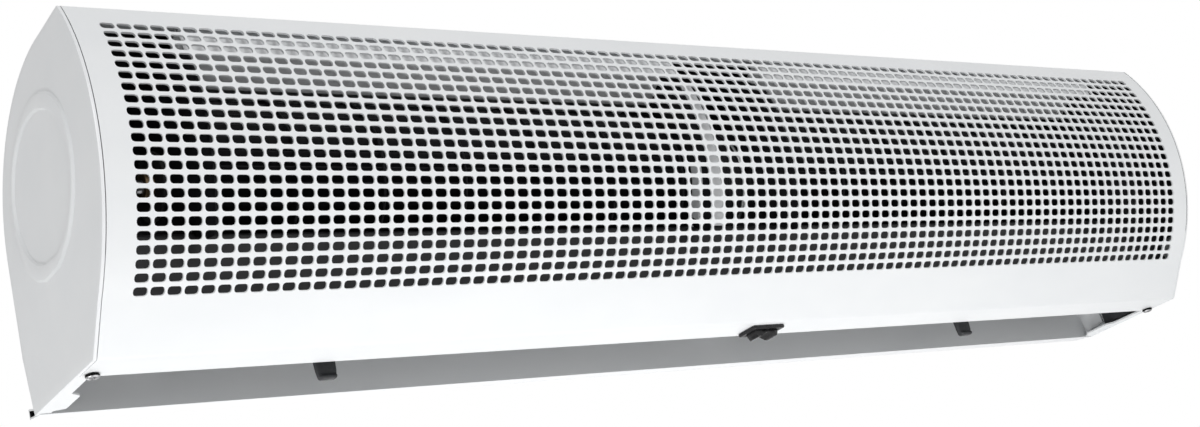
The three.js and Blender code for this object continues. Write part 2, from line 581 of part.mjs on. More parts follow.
// ---------------------------------------------------------------- bulkheads and their screws
const alongTongue = beside(tongueLine, -BULKHEAD_GAP);
const tongueShare = (BULKHEAD_BOTTOM - alongTongue[1].y) / (alongTongue[2].y - alongTongue[1].y);
const footOutline = rectangle(shellInside + GAP, shellInside + GAP + BULKHEAD, BULKHEAD_BOTTOM, FOOT_TOP);
const footJoin = rectangle(shellInside + GAP, shellInside + BULKHEAD_GAP + 2, BULKHEAD_BOTTOM, FOOT_TOP);
for (const { name, middle, turn, inset, hole } of [
  { name: 'end_bulkhead_left', middle: -END_BULKHEAD, turn: 1, inset: BULKHEAD_GAP, hole: HOLDER_RADIUS },
  { name: 'motor_bulkhead_left', middle: -MOTOR_BULKHEAD, turn: -1, inset: GUIDE_GAP, hole: RING_RADIUS },
  { name: 'motor_bulkhead_right', middle: MOTOR_BULKHEAD, turn: 1, inset: GUIDE_GAP, hole: RING_RADIUS },
  { name: 'end_bulkhead_right', middle: END_BULKHEAD, turn: -1, inset: BULKHEAD_GAP, hole: HOLDER_RADIUS },
]) {
  const frontEdge = arc(FRONT_DEPTH, FRONT_HEIGHT, FRONT_RADIUS - SHEET - inset, ...BULKHEAD_FRONT, 5);
  const outline = new THREE.Shape([
    at(shellInside + BULKHEAD_GAP, BULKHEAD_BOTTOM),
    alongTongue[1].clone().lerp(alongTongue[2], tongueShare),
    ...alongTongue.slice(2, 6),
    ...frontEdge,
    ...arc(BACK_CENTRE_DEPTH, BACK_CENTRE_HEIGHT, BACK_RADIUS - SHEET - BULKHEAD_GAP, ...BULKHEAD_BACK, 7),
  ]);
  const [from, to] = [middle - BULKHEAD / 2, middle + BULKHEAD / 2];
  const holeRadius = hole - GROOVE + GAP / 2;
  let plate = solid(carried(outline, from, to))
    .add(solid(carried(footJoin, from, to)))
    .add(solid(carriedBetween(footOutline, middle, middle + turn * FOOT_WIDTH)))
    .subtract(solid(turned([[from - 1, 0], [from - 1, holeRadius], [to + 1, holeRadius], [to + 1, 0]])))
    .subtract(solid(...screwPlaces.filter(({ x }) => Math.abs(x - middle) < FOOT_WIDTH).map(
      ({ x, height }) => barAlongDepth(x, height, screwHole, STAND_OFF, STAND_OFF + 5, SCREW_FACETS),
    )));
  if (name === 'motor_bulkhead_left') {
    plate = plate.add(solid(carried(sheet(frontEdge, -BULKHEAD), from, from + GRILLE_STRIP)));
  }
  add(name, plate, name.startsWith('end') ? darkPaint() : greyPaint());
}

/** A pan-head screw along Y, the underside of its head at 0 and its shank at positive places. */
const screw = (length) => lathed([
  [-HEAD_HEIGHT, 0], [-HEAD_HEIGHT, SCREW_HEAD * 0.6], [-HEAD_HEIGHT / 2, SCREW_HEAD], [0, SCREW_HEAD],
  [0, SCREW_RADIUS], [length, SCREW_RADIUS], [length, 0],
], SCREW_FACETS);
for (const { name, x, height } of screwPlaces) {
  const length = shellInside + GAP + BULKHEAD - STAND_OFF + GAP + SNUG;
  add(name, screw(length).rotateZ(Math.PI).translate(x, -(STAND_OFF - GAP), height), steel());
}
for (const [name, side] of SIDES) {
  add(`cover_screw_${name}`, screw(COVER_SCREW_LENGTH).rotateX(Math.PI / 2)
    .translate(side * coverScrewX, -COVER_SCREW_DEPTH, -GAP), steel());
}

// ---------------------------------------------------------------- fan drums, hubs, axles and bearings
const drumInner = MOTOR_BULKHEAD + BULKHEAD / 2 + DRUM_END_GAP;
const drumOuter = END_BULKHEAD - BULKHEAD / 2 - DRUM_END_GAP;
/** One blade's section: thin sheet that curves forward, the way the drum turns. */
function blade(index) {
  const middle = [0, 0.5, 1].map((share) => fromAxis(
    DRUM_INNER + (DRUM_RADIUS - 1 - DRUM_INNER) * share, (360 * index) / BLADES + BLADE_SWEEP * share ** 2,
  ));
  return new THREE.Shape([
    ...beside(middle, BLADE_THICKNESS / 2), ...beside(middle, -BLADE_THICKNESS / 2).reverse(),
  ]);
}
const shaftBore = boreCorner(SHAFT_RADIUS, SNUG);
const runningBore = boreCorner(SHAFT_RADIUS, RUNNING);
const bearingFrom = END_BULKHEAD - HOLDER_LENGTH / 2;
for (const [name, side] of SIDES) {
  const on = (profile) => profile.map(([x, radius]) => [side * x, radius]);
  let drum = solid(...Array.from({ length: BLADES }, (_, i) => carriedBetween(
    blade(i), side * (drumInner + DISC / 2), side * (drumOuter - DISC / 2),
  )));
  for (let ring = 0; ring < DRUM_RINGS; ring += 1) {
    const x = drumInner + ((drumOuter - DISC - drumInner) * ring) / (DRUM_RINGS - 1);
    const atEnd = ring === 0 || ring === DRUM_RINGS - 1;
    const bore = atEnd ? boreCorner(HUB_RADIUS, SNUG) : DRUM_INNER - RING_LAP;
    drum = drum.add(solid(turned(
      on([[x, bore], [x + DISC, bore], [x + DISC, DRUM_RADIUS], [x, DRUM_RADIUS]]),
    )));
  }
  add(`fan_drum_${name}`, drum, darkPaint());

  // The hub is pushed on the motor's shaft, and its flange lies on the drum's inner disc.
  const hubFace = drumInner - GAP;
  add(`drum_hub_${name}`, turned(on([
    [hubFace - FLANGE_THICKNESS, shaftBore], [drumInner + HUB_LENGTH, shaftBore],
    [drumInner + HUB_LENGTH, HUB_RADIUS], [hubFace, HUB_RADIUS], [hubFace, HUB_FLANGE],
    [hubFace - FLANGE_THICKNESS, HUB_FLANGE],
  ])), aluminium());

  // The stub axle's flange lies on the outer disc, and its end turns in the bearing.
  const axleFace = drumOuter + GAP;
  add(`fan_axle_${name}`, turned(on([
    [drumOuter - HUB_LENGTH / 2, 0], [drumOuter - HUB_LENGTH / 2, HUB_RADIUS], [axleFace, HUB_RADIUS],
    [axleFace, HUB_FLANGE], [axleFace + FLANGE_THICKNESS, HUB_FLANGE],
    [axleFace + FLANGE_THICKNESS, SHAFT_RADIUS], [axleFace + AXLE_LENGTH, SHAFT_RADIUS],
    [axleFace + AXLE_LENGTH, 0],
  ])), steel());
  add(`bearing_${name}`, turned(on([
    [bearingFrom, runningBore], [bearingFrom + BEARING_LENGTH, runningBore],
    [bearingFrom + BEARING_LENGTH, BEARING_RADIUS], [bearingFrom, BEARING_RADIUS],
  ])), brass());
  add(`bearing_holder_${name}`, turned(on(groovedRing(
    END_BULKHEAD, boreCorner(BEARING_RADIUS, SNUG), HOLDER_RADIUS, HOLDER_LENGTH, BULKHEAD,
  ))), rubber());
}

// ---------------------------------------------------------------- motor, held between the motor bulkheads
add('motor_can', turned([
  [-MOTOR_HALF, MOTOR_RADIUS - MOTOR_WALL], [MOTOR_HALF, MOTOR_RADIUS - MOTOR_WALL],
  [MOTOR_HALF, MOTOR_RADIUS], [-MOTOR_HALF, MOTOR_RADIUS],
]), zincSheet());
const shaftEnd = drumInner + HUB_LENGTH + FLANGE_THICKNESS;
add('motor_rotor', turned([
  [-shaftEnd, 0], [-shaftEnd, SHAFT_RADIUS], [-CORE_HALF, SHAFT_RADIUS], [-CORE_HALF, CORE_RADIUS],
  [CORE_HALF, CORE_RADIUS], [CORE_HALF, SHAFT_RADIUS], [shaftEnd, SHAFT_RADIUS], [shaftEnd, 0],
]), steel());
const stator = new THREE.Shape().absarc(
  -AXIS_DEPTH, AXIS_HEIGHT, MOTOR_RADIUS - MOTOR_WALL - GAP - SNUG, 0, 2 * Math.PI,
);
const toothPitch = 360 / TEETH;
const toothTip = CORE_RADIUS + AIR_GAP;
stator.holes.push(new THREE.Path(Array.from({ length: TEETH }, (_, i) => [
  [toothTip, -0.32], [toothTip, 0.32], [SLOT_RADIUS, 0.24], [SLOT_RADIUS, 0.76],
].map(([radius, share]) => fromAxis(radius, (i + share) * toothPitch))).flat()));
add('motor_stator', carried(stator, -CORE_HALF, CORE_HALF), steel());
for (const [name, side] of SIDES) {
  const on = (profile) => profile.map(([x, radius]) => [side * x, radius]);
  const windingFrom = CORE_HALF + GAP;
  add(`motor_winding_${name}`, turned(on([
    [windingFrom, WINDING_INNER], [windingFrom + WINDING_LENGTH, WINDING_INNER + 1],
    [windingFrom + WINDING_LENGTH, WINDING_OUTER - 2], [windingFrom + WINDING_LENGTH / 2, WINDING_OUTER],
    [windingFrom, WINDING_OUTER],
  ])), copper());
  const [rim, face] = [MOTOR_HALF + GAP, MOTOR_HALF + GAP + BELL_DEPTH];
  const bossEnd = MOTOR_BULKHEAD + RING_LENGTH / 2;
  add(`motor_end_bell_${name}`, turned(on([
    [rim, MOTOR_RADIUS - 2 * MOTOR_WALL], [face - MOTOR_WALL, MOTOR_RADIUS - BELL_STEP - GAP],
    [face - MOTOR_WALL, runningBore], [bossEnd, runningBore], [bossEnd, BOSS_RADIUS], [face, BOSS_RADIUS],
    [face, MOTOR_RADIUS - BELL_STEP], [rim + MOTOR_WALL, MOTOR_RADIUS], [rim, MOTOR_RADIUS],
  ])), aluminium());
  add(`motor_ring_${name}`, turned(on(groovedRing(
    MOTOR_BULKHEAD, boreCorner(BOSS_RADIUS, SNUG), RING_RADIUS, RING_LENGTH, BULKHEAD,
  ))), rubber());
}

// ---------------------------------------------------------------- swivelling vane in the outlet
const half = { chord: VANE_CHORD / 2, middle: VANE_THICKNESS / 2, edge: VANE_EDGE / 2 };
const vaneOutline = new THREE.Shape([
  [-half.edge, -half.chord], [half.edge, -half.chord], [half.middle, -half.chord / 3],
  [half.middle, half.chord / 3], [half.edge, half.chord], [-half.edge, half.chord],
  [-half.middle, half.chord / 3], [-half.middle, -half.chord / 3],
].map(([forward, high]) => at(VANE_DEPTH + forward, VANE_HEIGHT + high)));
const pinBar = (radius, from, to) => turned(
  [[from, 0], [from, radius], [to, radius], [to, 0]], VANE_DEPTH, VANE_HEIGHT, 16,
);
let vane = solid(carried(vaneOutline, -VANE_HALF, VANE_HALF));
for (const [, side] of SIDES) {
  const [inPin, outPin] = [VANE_HALF - PIN_LENGTH, VANE_HALF + PIN_LENGTH];
  vane = vane.add(solid(pinBar(PIN_RADIUS, side * inPin, side * outPin)));
}
add('outlet_vane', vane, greyPaint());

const tabTop = VANE_HEIGHT - half.chord + TAB_GRIP;
for (const [name, x] of [['left', TAB_LEFT], ['right', TAB_RIGHT]]) {
  const section = carried(new THREE.Shape([
    at(VANE_DEPTH - TAB_HALF, tabTop), at(VANE_DEPTH - TAB_HALF, -TAB_REACH + 2),
    at(VANE_DEPTH - TAB_HALF + 1, -TAB_REACH), at(VANE_DEPTH + TAB_HALF, -TAB_REACH),
    at(VANE_DEPTH + TAB_HALF + 1, -TAB_REACH + 1), at(VANE_DEPTH + TAB_HALF + 1, -TAB_REACH + 3),
    at(VANE_DEPTH + TAB_HALF, -TAB_REACH + 4), at(VANE_DEPTH + TAB_HALF, tabTop),
  ]), x - TAB_WIDTH, x + TAB_WIDTH);
  const outline = across([
    [x - TAB_WIDTH / 2, tabTop], [x - TAB_WIDTH / 2, 0], [x - TAB_TIP / 2, -TAB_REACH + 2],
    [x - TAB_TIP / 2 + 2, -TAB_REACH], [x + TAB_TIP / 2 - 2, -TAB_REACH], [x + TAB_TIP / 2, -TAB_REACH + 2],
    [x + TAB_WIDTH / 2, 0], [x + TAB_WIDTH / 2, tabTop],
  ], VANE_DEPTH - TAB_WIDTH, VANE_DEPTH + TAB_WIDTH);
  const slot = carried(new THREE.Shape([
    at(VANE_DEPTH - half.edge - GAP, VANE_HEIGHT - half.chord - GAP),
    at(VANE_DEPTH + half.edge + GAP, VANE_HEIGHT - half.chord - GAP),
    at(VANE_DEPTH + half.middle + GAP / 2, tabTop + 1), at(VANE_DEPTH - half.middle - GAP / 2, tabTop + 1),
  ]), x - TAB_WIDTH, x + TAB_WIDTH);
  add(`vane_tab_${name}`, solid(section).intersect(solid(outline)).subtract(solid(slot)), darkPlastic());
}

const bracket = {
  rear: VANE_DEPTH - BRACKET_REAR, front: VANE_DEPTH + BRACKET_FRONT, top: VANE_HEIGHT + BRACKET_TOP,
};
const bracketOutline = new THREE.Shape([
  at(bracket.rear, flangeHeight + SHEET + GAP), at(bracket.front, flangeHeight + SHEET + GAP),
  at(bracket.front, bracket.top - 8), at(bracket.front - 8, bracket.top), at(bracket.rear + 8, bracket.top),
  at(bracket.rear, bracket.top - 8),
]);
for (const [name, side] of SIDES) {
  const outer = LENGTH / 2 - END_PLATE - GAP;
  const inner = outer - BRACKET_THICKNESS;
  const plate = solid(carriedBetween(bracketOutline, side * inner, side * outer))
    .add(solid(pinBar(BRACKET_BOSS, side * (inner - 1), side * (inner + 1))))
    .subtract(solid(pinBar(boreCorner(PIN_RADIUS, RUNNING, 16), side * (inner - 2), side * (outer + 1))));
  add(`vane_bracket_${name}`, plate, darkPlastic());
}

// ---------------------------------------------------------------- rocker switch in the underside
const bodyTop = BODY_HEIGHT - BEZEL_THICKNESS - GAP;
const wellTop = WELL - BEZEL_THICKNESS - GAP;
const boxRound = ([length, width], [from, to], x = SWITCH_X) => block(
  [x - length / 2, SWITCH_DEPTH - width / 2, from], [x + length / 2, SWITCH_DEPTH + width / 2, to],
);
const wellSize = [BODY_LENGTH - 2 * BODY_WALL, BODY_WIDTH - 2 * BODY_WALL];
const rockerPin = (radius, reach) => barAlongDepth(
  SWITCH_X, ROCKER_PIVOT, radius, SWITCH_DEPTH - reach, SWITCH_DEPTH + reach, 12,
);
const rockerPinHole = rockerPin(boreCorner(ROCKER_PIN, RUNNING, 12), BODY_WIDTH / 2 + 1);
const terminalX = [-1, 1].map((side) => SWITCH_X + (side * BODY_LENGTH) / 4);
const terminal = (x, clearance, from) => boxRound(
  [TERMINAL_SHEET + clearance, TERMINAL_WIDTH + clearance], [from, bodyTop + TERMINAL_LENGTH], x,
);
const switchHousing = solid(boxRound([BEZEL_LENGTH, BEZEL_WIDTH], [-GAP - BEZEL_THICKNESS, -GAP]))
  .add(solid(boxRound([BODY_LENGTH, BODY_WIDTH], [-GAP - 1, bodyTop])))
  .subtract(solid(boxRound(wellSize, [-BEZEL_THICKNESS - 2, wellTop])))
  .subtract(solid(rockerPinHole))
  .subtract(solid(...terminalX.map((x) => terminal(x, GAP, bodyTop - 3))));
add('switch_housing', switchHousing, blackPlastic());
for (const [i, [name]] of SIDES.entries()) {
  add(`switch_terminal_${name}`, terminal(terminalX[i], 0, bodyTop - 3 + GAP), brass());
}
const rockerHalf = wellSize[0] / 2 - ROCKER_END_CLEAR;
const rockerSide = wellSize[1] / 2 - ROCKER_SIDE_CLEAR;
const lobe = [
  [0, -ROCKER_VALLEY], [rockerHalf * 0.6, -ROCKER_DROP], [rockerHalf * 0.88, -ROCKER_DROP + 0.3],
  [rockerHalf, -ROCKER_VALLEY], [rockerHalf, ROCKER_PIVOT - 1], [rockerHalf / 3, ROCKER_PIVOT + 2],
];
const switchRocker = solid(across([
  ...lobe.map(([x, height]) => [SWITCH_X + x, height]),
  ...lobe.slice(1).reverse().map(([x, height]) => [SWITCH_X - x, height]),
], SWITCH_DEPTH - rockerSide, SWITCH_DEPTH + rockerSide))
  .add(solid(rockerPin(ROCKER_PIN, BODY_WIDTH / 2 - GAP)));
add('switch_rocker', switchRocker, blackPlastic());

// ---------------------------------------------------------------- electric parts in the right end bay
const bayFace = END_BULKHEAD + BULKHEAD / 2 + GAP;
const [capLong, capDeep, capHigh] = CAPACITOR;
const capBottom = CAPACITOR_HEIGHT - capHigh / 2;
const capTop = CAPACITOR_HEIGHT + capHigh / 2;
add('capacitor', across([
  [bayFace, capBottom], [bayFace + capLong - 3, capBottom], [bayFace + capLong, capBottom + 3],
  [bayFace + capLong, capTop - 3], [bayFace + capLong - 3, capTop], [bayFace, capTop],
], CAPACITOR_DEPTH - capDeep / 2, CAPACITOR_DEPTH + capDeep / 2), capacitorCase());
const strapOut = bayFace + capLong + GAP;
const strapLine = [
  [bayFace, capBottom - GAP - STRAP_EAR], [bayFace, capBottom - GAP], [strapOut, capBottom - GAP],
  [strapOut, capTop + GAP], [bayFace, capTop + GAP], [bayFace, capTop + GAP + STRAP_EAR],
].map(([x, height]) => new THREE.Vector2(x, height));
add('capacitor_strap', across(
  [...strapLine, ...beside(strapLine, -STRAP_SHEET).reverse()].map(({ x, y }) => [x, y]),
  CAPACITOR_DEPTH - STRAP_WIDTH / 2, CAPACITOR_DEPTH + STRAP_WIDTH / 2,
), zincSheet());

const blockBack = shellInside + GAP;
const [baseDeep, baseHigh] = BLOCK_BASE;
const [ridgeDeep, ridgeHigh] = BLOCK_RIDGE;
const terminalBlockOutline = new THREE.Shape([
  [0, -baseHigh / 2], [baseDeep, -baseHigh / 2], [baseDeep, -ridgeHigh / 2], [ridgeDeep, -ridgeHigh / 2],
  [ridgeDeep, ridgeHigh / 2], [baseDeep, ridgeHigh / 2], [baseDeep, baseHigh / 2], [0, baseHigh / 2],
].map(([deep, high]) => at(blockBack + deep, BLOCK_HEIGHT + high)));
const poles = Array.from({ length: BLOCK_POLES }, (_, i) => (
  END_BAY_X + BLOCK_LENGTH * ((i + 0.5) / BLOCK_POLES - 0.5)));
add('terminal_block', solid(carried(
  terminalBlockOutline, END_BAY_X - BLOCK_LENGTH / 2, END_BAY_X + BLOCK_LENGTH / 2,
)).subtract(solid(...poles.map((x) => barAlongDepth(
  x, BLOCK_HEIGHT, 2, blockBack + ridgeDeep - 3, blockBack + ridgeDeep + 1, 10,
)))), capacitorCase());

add('cable_grommet', lathed([
  [-GROMMET_LENGTH / 2, GROMMET_BORE], [GROMMET_LENGTH / 2, GROMMET_BORE],
  [GROMMET_LENGTH / 2, GROMMET_RADIUS], [(SHEET + GAP) / 2, GROMMET_RADIUS + GROMMET_RIM],
  [(SHEET + GAP) / 2, GROMMET_RADIUS], [-(SHEET + GAP) / 2, GROMMET_RADIUS],
  [-(SHEET + GAP) / 2, GROMMET_RADIUS + GROMMET_RIM], [-GROMMET_LENGTH / 2, GROMMET_RADIUS],
], 16).translate(END_BAY_X, -(STAND_OFF + SHEET / 2), GROMMET_HEIGHT), rubber());

airCurtain.position.z = -WALL_FACE_HEIGHT;

export default airCurtain;
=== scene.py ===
# %% [markdown]
# # A wall-mounted air curtain
# An air curtain hangs over a doorway and blows a flat sheet of air straight down. This file
# dresses its plain CAD model for a render. Most of the casing is thin painted sheet metal, so
# nearly every piece here is a line drawn in the section and carried along the unit.

import json
import math

import bmesh
import bpy
import numpy as np
from mathutils import Matrix, Vector


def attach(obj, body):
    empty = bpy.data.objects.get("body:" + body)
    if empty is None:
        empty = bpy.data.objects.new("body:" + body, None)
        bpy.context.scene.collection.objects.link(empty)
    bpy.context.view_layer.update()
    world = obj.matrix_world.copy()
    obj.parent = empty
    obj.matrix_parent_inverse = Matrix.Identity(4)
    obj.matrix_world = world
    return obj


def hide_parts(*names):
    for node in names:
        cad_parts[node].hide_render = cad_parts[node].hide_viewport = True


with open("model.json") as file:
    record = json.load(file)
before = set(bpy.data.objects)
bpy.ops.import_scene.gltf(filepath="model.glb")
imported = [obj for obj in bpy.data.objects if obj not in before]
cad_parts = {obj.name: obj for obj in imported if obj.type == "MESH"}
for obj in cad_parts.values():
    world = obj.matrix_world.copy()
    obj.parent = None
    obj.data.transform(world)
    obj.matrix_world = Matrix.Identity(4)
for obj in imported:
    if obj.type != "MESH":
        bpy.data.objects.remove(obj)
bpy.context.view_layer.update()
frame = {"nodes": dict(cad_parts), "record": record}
scene = bpy.context.scene

# %% [markdown]
# ## Two measures of the section
# The model stands in metres, with X along the unit, the wall at Y = 0 and Z up. A maker draws the
# section in millimetres, as depth out of the wall and height above the underside. One small
# function turns those drawing measures into the model's frame, and all pieces go through it.

# %% From drawing measures to the frame
WALL_FACE_HEIGHT = 76.0  # height of the frame's origin above the underside


def place(x, depth, height):
    """Points in metres from x, depth and height in millimetres: (x, -depth, height - 76) / 1000."""
    x, depth, height = np.broadcast_arrays(x, depth, height)
    return np.stack([x, -depth, height - WALL_FACE_HEIGHT], axis=-1) * 0.001


def on_arc(centre, radius, angles):
    """Rows of (depth, height): centre + radius (cos a, sin a), a in degrees above level to the room."""
    a = np.radians(np.asarray(angles, float))
    return np.stack([centre[0] + radius * np.cos(a), centre[1] + radius * np.sin(a)], axis=-1)


SIDES = ((-1, "left"), (1, "right"))
print("a point of the ridge:", place(0, 133.2, 187.6))

# %% [markdown]
# ## The camera
# The photograph is taken from the left, from below, with the camera tilted to one side. Its place
# was solved from the corners of the casing, so the model lines up with the picture. Depth of field
# stays off.

# %% Camera
camera = bpy.data.objects.new("camera", bpy.data.cameras.new("camera"))
scene.collection.objects.link(camera)
scene.camera = camera
camera.data.sensor_width = 36.0
camera.data.lens = 55.5
camera.data.clip_start, camera.data.clip_end = 0.01, 50.0
right = Vector((0.79658, -0.55322, -0.24374))
up = Vector((0.00717, -0.39450, 0.91887))
ahead = Vector((0.60449, 0.73370, 0.31028))
turn = Matrix((right, up, -ahead)).transposed().to_4x4()
camera.matrix_world = Matrix.Translation((-0.8113, -0.9626, -0.3610)) @ turn
print("camera lens", camera.data.lens, "mm")

# %% [markdown]
# ## The studio
# A white room with soft light: a pale floor well below the unit, a white world that the camera and
# the glossy surfaces see, and a few large lamps. The light on the object itself is kept apart from
# the white background, so that the white paint stays just short of clipping.

# %% Floor, world and lamps
LIGHT_ABOVE, LIGHT_BELOW = 0.2, 0.85
FLOOR_HEIGHT, REACH = -2.1, 4.0  # the unit hangs over a door


def add(tree, kind, inputs=None, **settings):
    """A node of type "ShaderNode" + kind. An input given a socket is linked, any other is set."""
    node = tree.nodes.new("ShaderNode" + kind)
    for label, value in settings.items():
        setattr(node, label, value)
    for label, value in (inputs or {}).items():
        if isinstance(value, bpy.types.NodeSocket):
            tree.links.new(value, node.inputs[label])
        else:
            node.inputs[label].default_value = value
    return node


def white_room():
    """A world that is white to camera, glossy and transmission rays. To all other rays it grows from
    LIGHT_ABOVE overhead to LIGHT_BELOW underfoot, evenly with the height of the direction."""
    world = bpy.data.worlds.new("studio")
    scene.world = world
    world.use_nodes = True
    tree = world.node_tree
    tree.nodes.clear()
    rays = add(tree, "LightPath").outputs
    seen = rays["Is Camera Ray"]
    for other in ("Is Glossy Ray", "Is Transmission Ray"):
        seen = add(tree, "Math", {0: seen, 1: rays[other]}, operation="MAXIMUM").outputs[0]
    direction = add(tree, "TexCoord").outputs["Generated"]
    rise = add(tree, "SeparateXYZ", {0: direction}).outputs["Z"]
    limits = {"From Min": -1.0, "To Min": LIGHT_BELOW, "To Max": LIGHT_ABOVE}
    light = add(tree, "MapRange", {"Value": rise, **limits})
    strength = add(tree, "MapRange", {"Value": seen, "To Min": light.outputs["Result"], "To Max": 1.0})
    background = add(tree, "Background", {"Color": (1, 1, 1, 1), "Strength": strength.outputs["Result"]})
    add(tree, "OutputWorld", {"Surface": background.outputs[0]})


def lamp(name, position, target, size, power):
    """A square area lamp of the given side in metres and power in watts, aimed from position to target."""
    data = bpy.data.lights.new(name, "AREA")
    data.size = size
    data.energy = power
    obj = bpy.data.objects.new(name, data)
    scene.collection.objects.link(obj)
    obj.location = position
    aim = Vector(target) - Vector(position)
    obj.rotation_euler = aim.to_track_quat("-Z", "Y").to_euler()
    obj.visible_camera = False


white_room()
lamp("front_lamp", (-0.6, -2.4, 0.95), (0, -0.1, 0.03), 1.2, 27)
lamp("low_lamp", (0.05, -0.14, -0.73), (0.05, -0.13, 0.0), 0.9, 4.4)
lamp("side_lamp", (-0.9, -0.08, -0.8), (-0.45, -0.09, 0.0), 0.2, 3.0)
lamp("back_lamp", (0.5, 2.4, 0.6), (0, 0.0, 0.0), 1.5, 14)

floor_mesh = bpy.data.meshes.new("floor")
corners = [(x * REACH, y * REACH, FLOOR_HEIGHT) for x, y in ((-1, -1), (1, -1), (1, 1), (-1, 1))]
floor_mesh.from_pydata(corners, [], [(0, 1, 2, 3)])
floor = bpy.data.objects.new("floor", floor_mesh)
scene.collection.objects.link(floor)
floor_paint = bpy.data.materials.new("floor")
floor_paint.use_nodes = True
floor_shader = floor_paint.node_tree.nodes["Principled BSDF"]
floor_shader.inputs["Base Color"].default_value = (0.9, 0.9, 0.9, 1)
floor_shader.inputs["Roughness"].default_value = 0.8
floor_mesh.materials.append(floor_paint)

scene.view_settings.view_transform = "Standard"

# %% [markdown]
# ## Shared effects
# Powder coat, brushed grain and moulded plastic all need small variations of tone, roughness and
# height. Each of these three is a node group with the same four inputs, built once and placed in
# every material that shows it, with that material's own values.

# %% Node group helpers
LOOK_INPUTS = {"Tone": (0.8, 0.8, 0.8, 1), "Shade": (0.7, 0.7, 0.7, 1), "Smooth": 0.3, "Dull": 0.42}


def node_group(name, inputs, outputs):
    """A shader node group with inputs {name: default} and outputs {name: type}, and its two ends."""
    group = bpy.data.node_groups.new(name, "ShaderNodeTree")
    for label, default in inputs.items():
        kind = "Color" if isinstance(default, tuple) else "Float"
        socket = group.interface.new_socket(label, in_out="INPUT", socket_type="NodeSocket" + kind)
        socket.default_value = default
    for label, kind in outputs.items():
        group.interface.new_socket(label, in_out="OUTPUT", socket_type="NodeSocket" + kind)
    return group, group.nodes.new("NodeGroupInput").outputs, group.nodes.new("NodeGroupOutput").inputs


def noise(group, stretch, detail=3.0, scale=5.0):
    """Noise on object coordinates times a stretch per axis, in metres."""
    where = add(group, "TexCoord").outputs["Object"]
    mapped = add(group, "Mapping", {"Scale": stretch, "Vector": where}).outputs["Vector"]
    values = {"Detail": detail, "Roughness": 0.55, "Scale": scale, "Vector": mapped}
    return add(group, "TexNoise", values).outputs["Fac"]


def spread(group, value, low, high):
    """A texture value of about 0.3 to 0.7 spread over low to high; either may be a socket or a number."""
    limits = {"From Min": 0.3, "From Max": 0.7, "To Min": low, "To Max": high}
    return add(group, "MapRange", {"Value": value, **limits}).outputs["Result"]


def mixed(tree, share, first, second):
    """The colour first (1 - share) + second share."""
    return add(tree, "Mix", {"Factor": share, 6: first, 7: second}, data_type="RGBA").outputs[2]


def look_group(name, height, make):
    """Color: Tone mixed with Shade. Roughness: from Smooth to Dull. The third output is a height.
    make(group) gives the share of Shade, the noise for the roughness and the noise for the height."""
    outputs = {"Color": "Color", "Roughness": "Float", height: "Float"}
    group, given, out = node_group(name, LOOK_INPUTS, outputs)
    share, wear, relief = make(group)
    group.links.new(mixed(group, share, given["Tone"], given["Shade"]), out["Color"])
    group.links.new(spread(group, wear, given["Smooth"], given["Dull"]), out["Roughness"])
    group.links.new(relief, out[height])
    print("made", name)
    return group


print("groups are built with interface.new_socket")

# %% [markdown]
# ## Powder coat
# Sprayed powder melts into a film with a faint ripple, called orange peel, and its tone drifts a
# little over a long sheet. A slow noise mixes the tones, a fine one sets the roughness and a very
# fine one is the ripple.

# %% Powder coat group
def coat(group):
    """Share: slow noise spread over 0 to 1. Roughness: fine noise. Height: very fine noise."""
    slow = noise(group, (3, 6, 6), 2.0)
    fine = noise(group, (60, 60, 60), 4.0)
    return spread(group, slow, 0.0, 1.0), fine, noise(group, (520, 520, 520), 1.0)


powder_coat = look_group("powder coat", "Ripple", coat)

# %% [markdown]
# ## Painted shade inside
# Seen through the grille, the inside of the casing lies in shade, and that shade is painted into its
# colour: inner faces turn nearly black, but just above the outlet they stay as pale as the outside. The
# group turns a number stored on the faces into a mask of painted shade: 0 stays pale, 1 is dark above
# the outlet, 2 is dark anywhere.

# %% Painted shade group
def make_shade_mask():
    """The mask of painted shade: clamp(n * step(z) + n - 1), with n from the face and step(z) rising
    from 0 to 1 at the height where the outlet begins."""
    group, given, out = node_group("painted_shade", {"From": -0.0325, "To": -0.0295}, {"Mask": "Float"})
    number = add(group, "Attribute", attribute_name="painted_shade").outputs["Fac"]
    where = add(group, "TexCoord").outputs["Object"]
    height = add(group, "SeparateXYZ", {0: where}).outputs["Z"]
    step = add(group, "MapRange", {"Value": height, "From Min": given["From"], "From Max": given["To"]})
    total = add(group, "Math", {0: number, 1: step.outputs["Result"], 2: number}, operation="MULTIPLY_ADD")
    less = add(group, "Math", {0: total.outputs[0], 1: 1.0}, operation="SUBTRACT", use_clamp=True)
    group.links.new(less.outputs[0], out["Mask"])
    return group


painted_shade = make_shade_mask()
print("made", painted_shade.name)

# %% [markdown]
# ## Grain of metals
# Rolled and turned metal carries fine lines along one direction. Noise stretched along X gives
# lines along the unit, and it drives tone, roughness and a very low height.

# %% Metal grain group
def rolled(group):
    """Share: 0.6 of the lines plus 0.4 of larger patches. Roughness and height: the lines."""
    lines = noise(group, (6, 700, 700))
    parts = {0: spread(group, lines, 0.0, 0.6), 1: spread(group, noise(group, (40, 60, 60)), 0.0, 0.4)}
    return add(group, "Math", parts, operation="ADD").outputs[0], lines, lines


grain = look_group("metal grain", "Lines", rolled)

# %% [markdown]
# ## Moulded plastic and rubber
# A mould leaves an even, very fine texture. The same group serves rubber, with a deeper bump.

# %% Moulded group
def moulding(group):
    """Share and roughness: slow noise. Height: noise of scale 900."""
    slow = noise(group, (90, 90, 90))
    return spread(group, slow, 0.0, 1.0), slow, noise(group, (1, 1, 1), 2.0, 900.0)


moulded = look_group("moulded", "Texture", moulding)

# %% [markdown]
# ## The finishes
# One material for each finish of the record, so that a piece takes both its look and its slot name
# from one word. The shader stays in the material, and the groups feed it.

# %% Materials
FINISH = {}


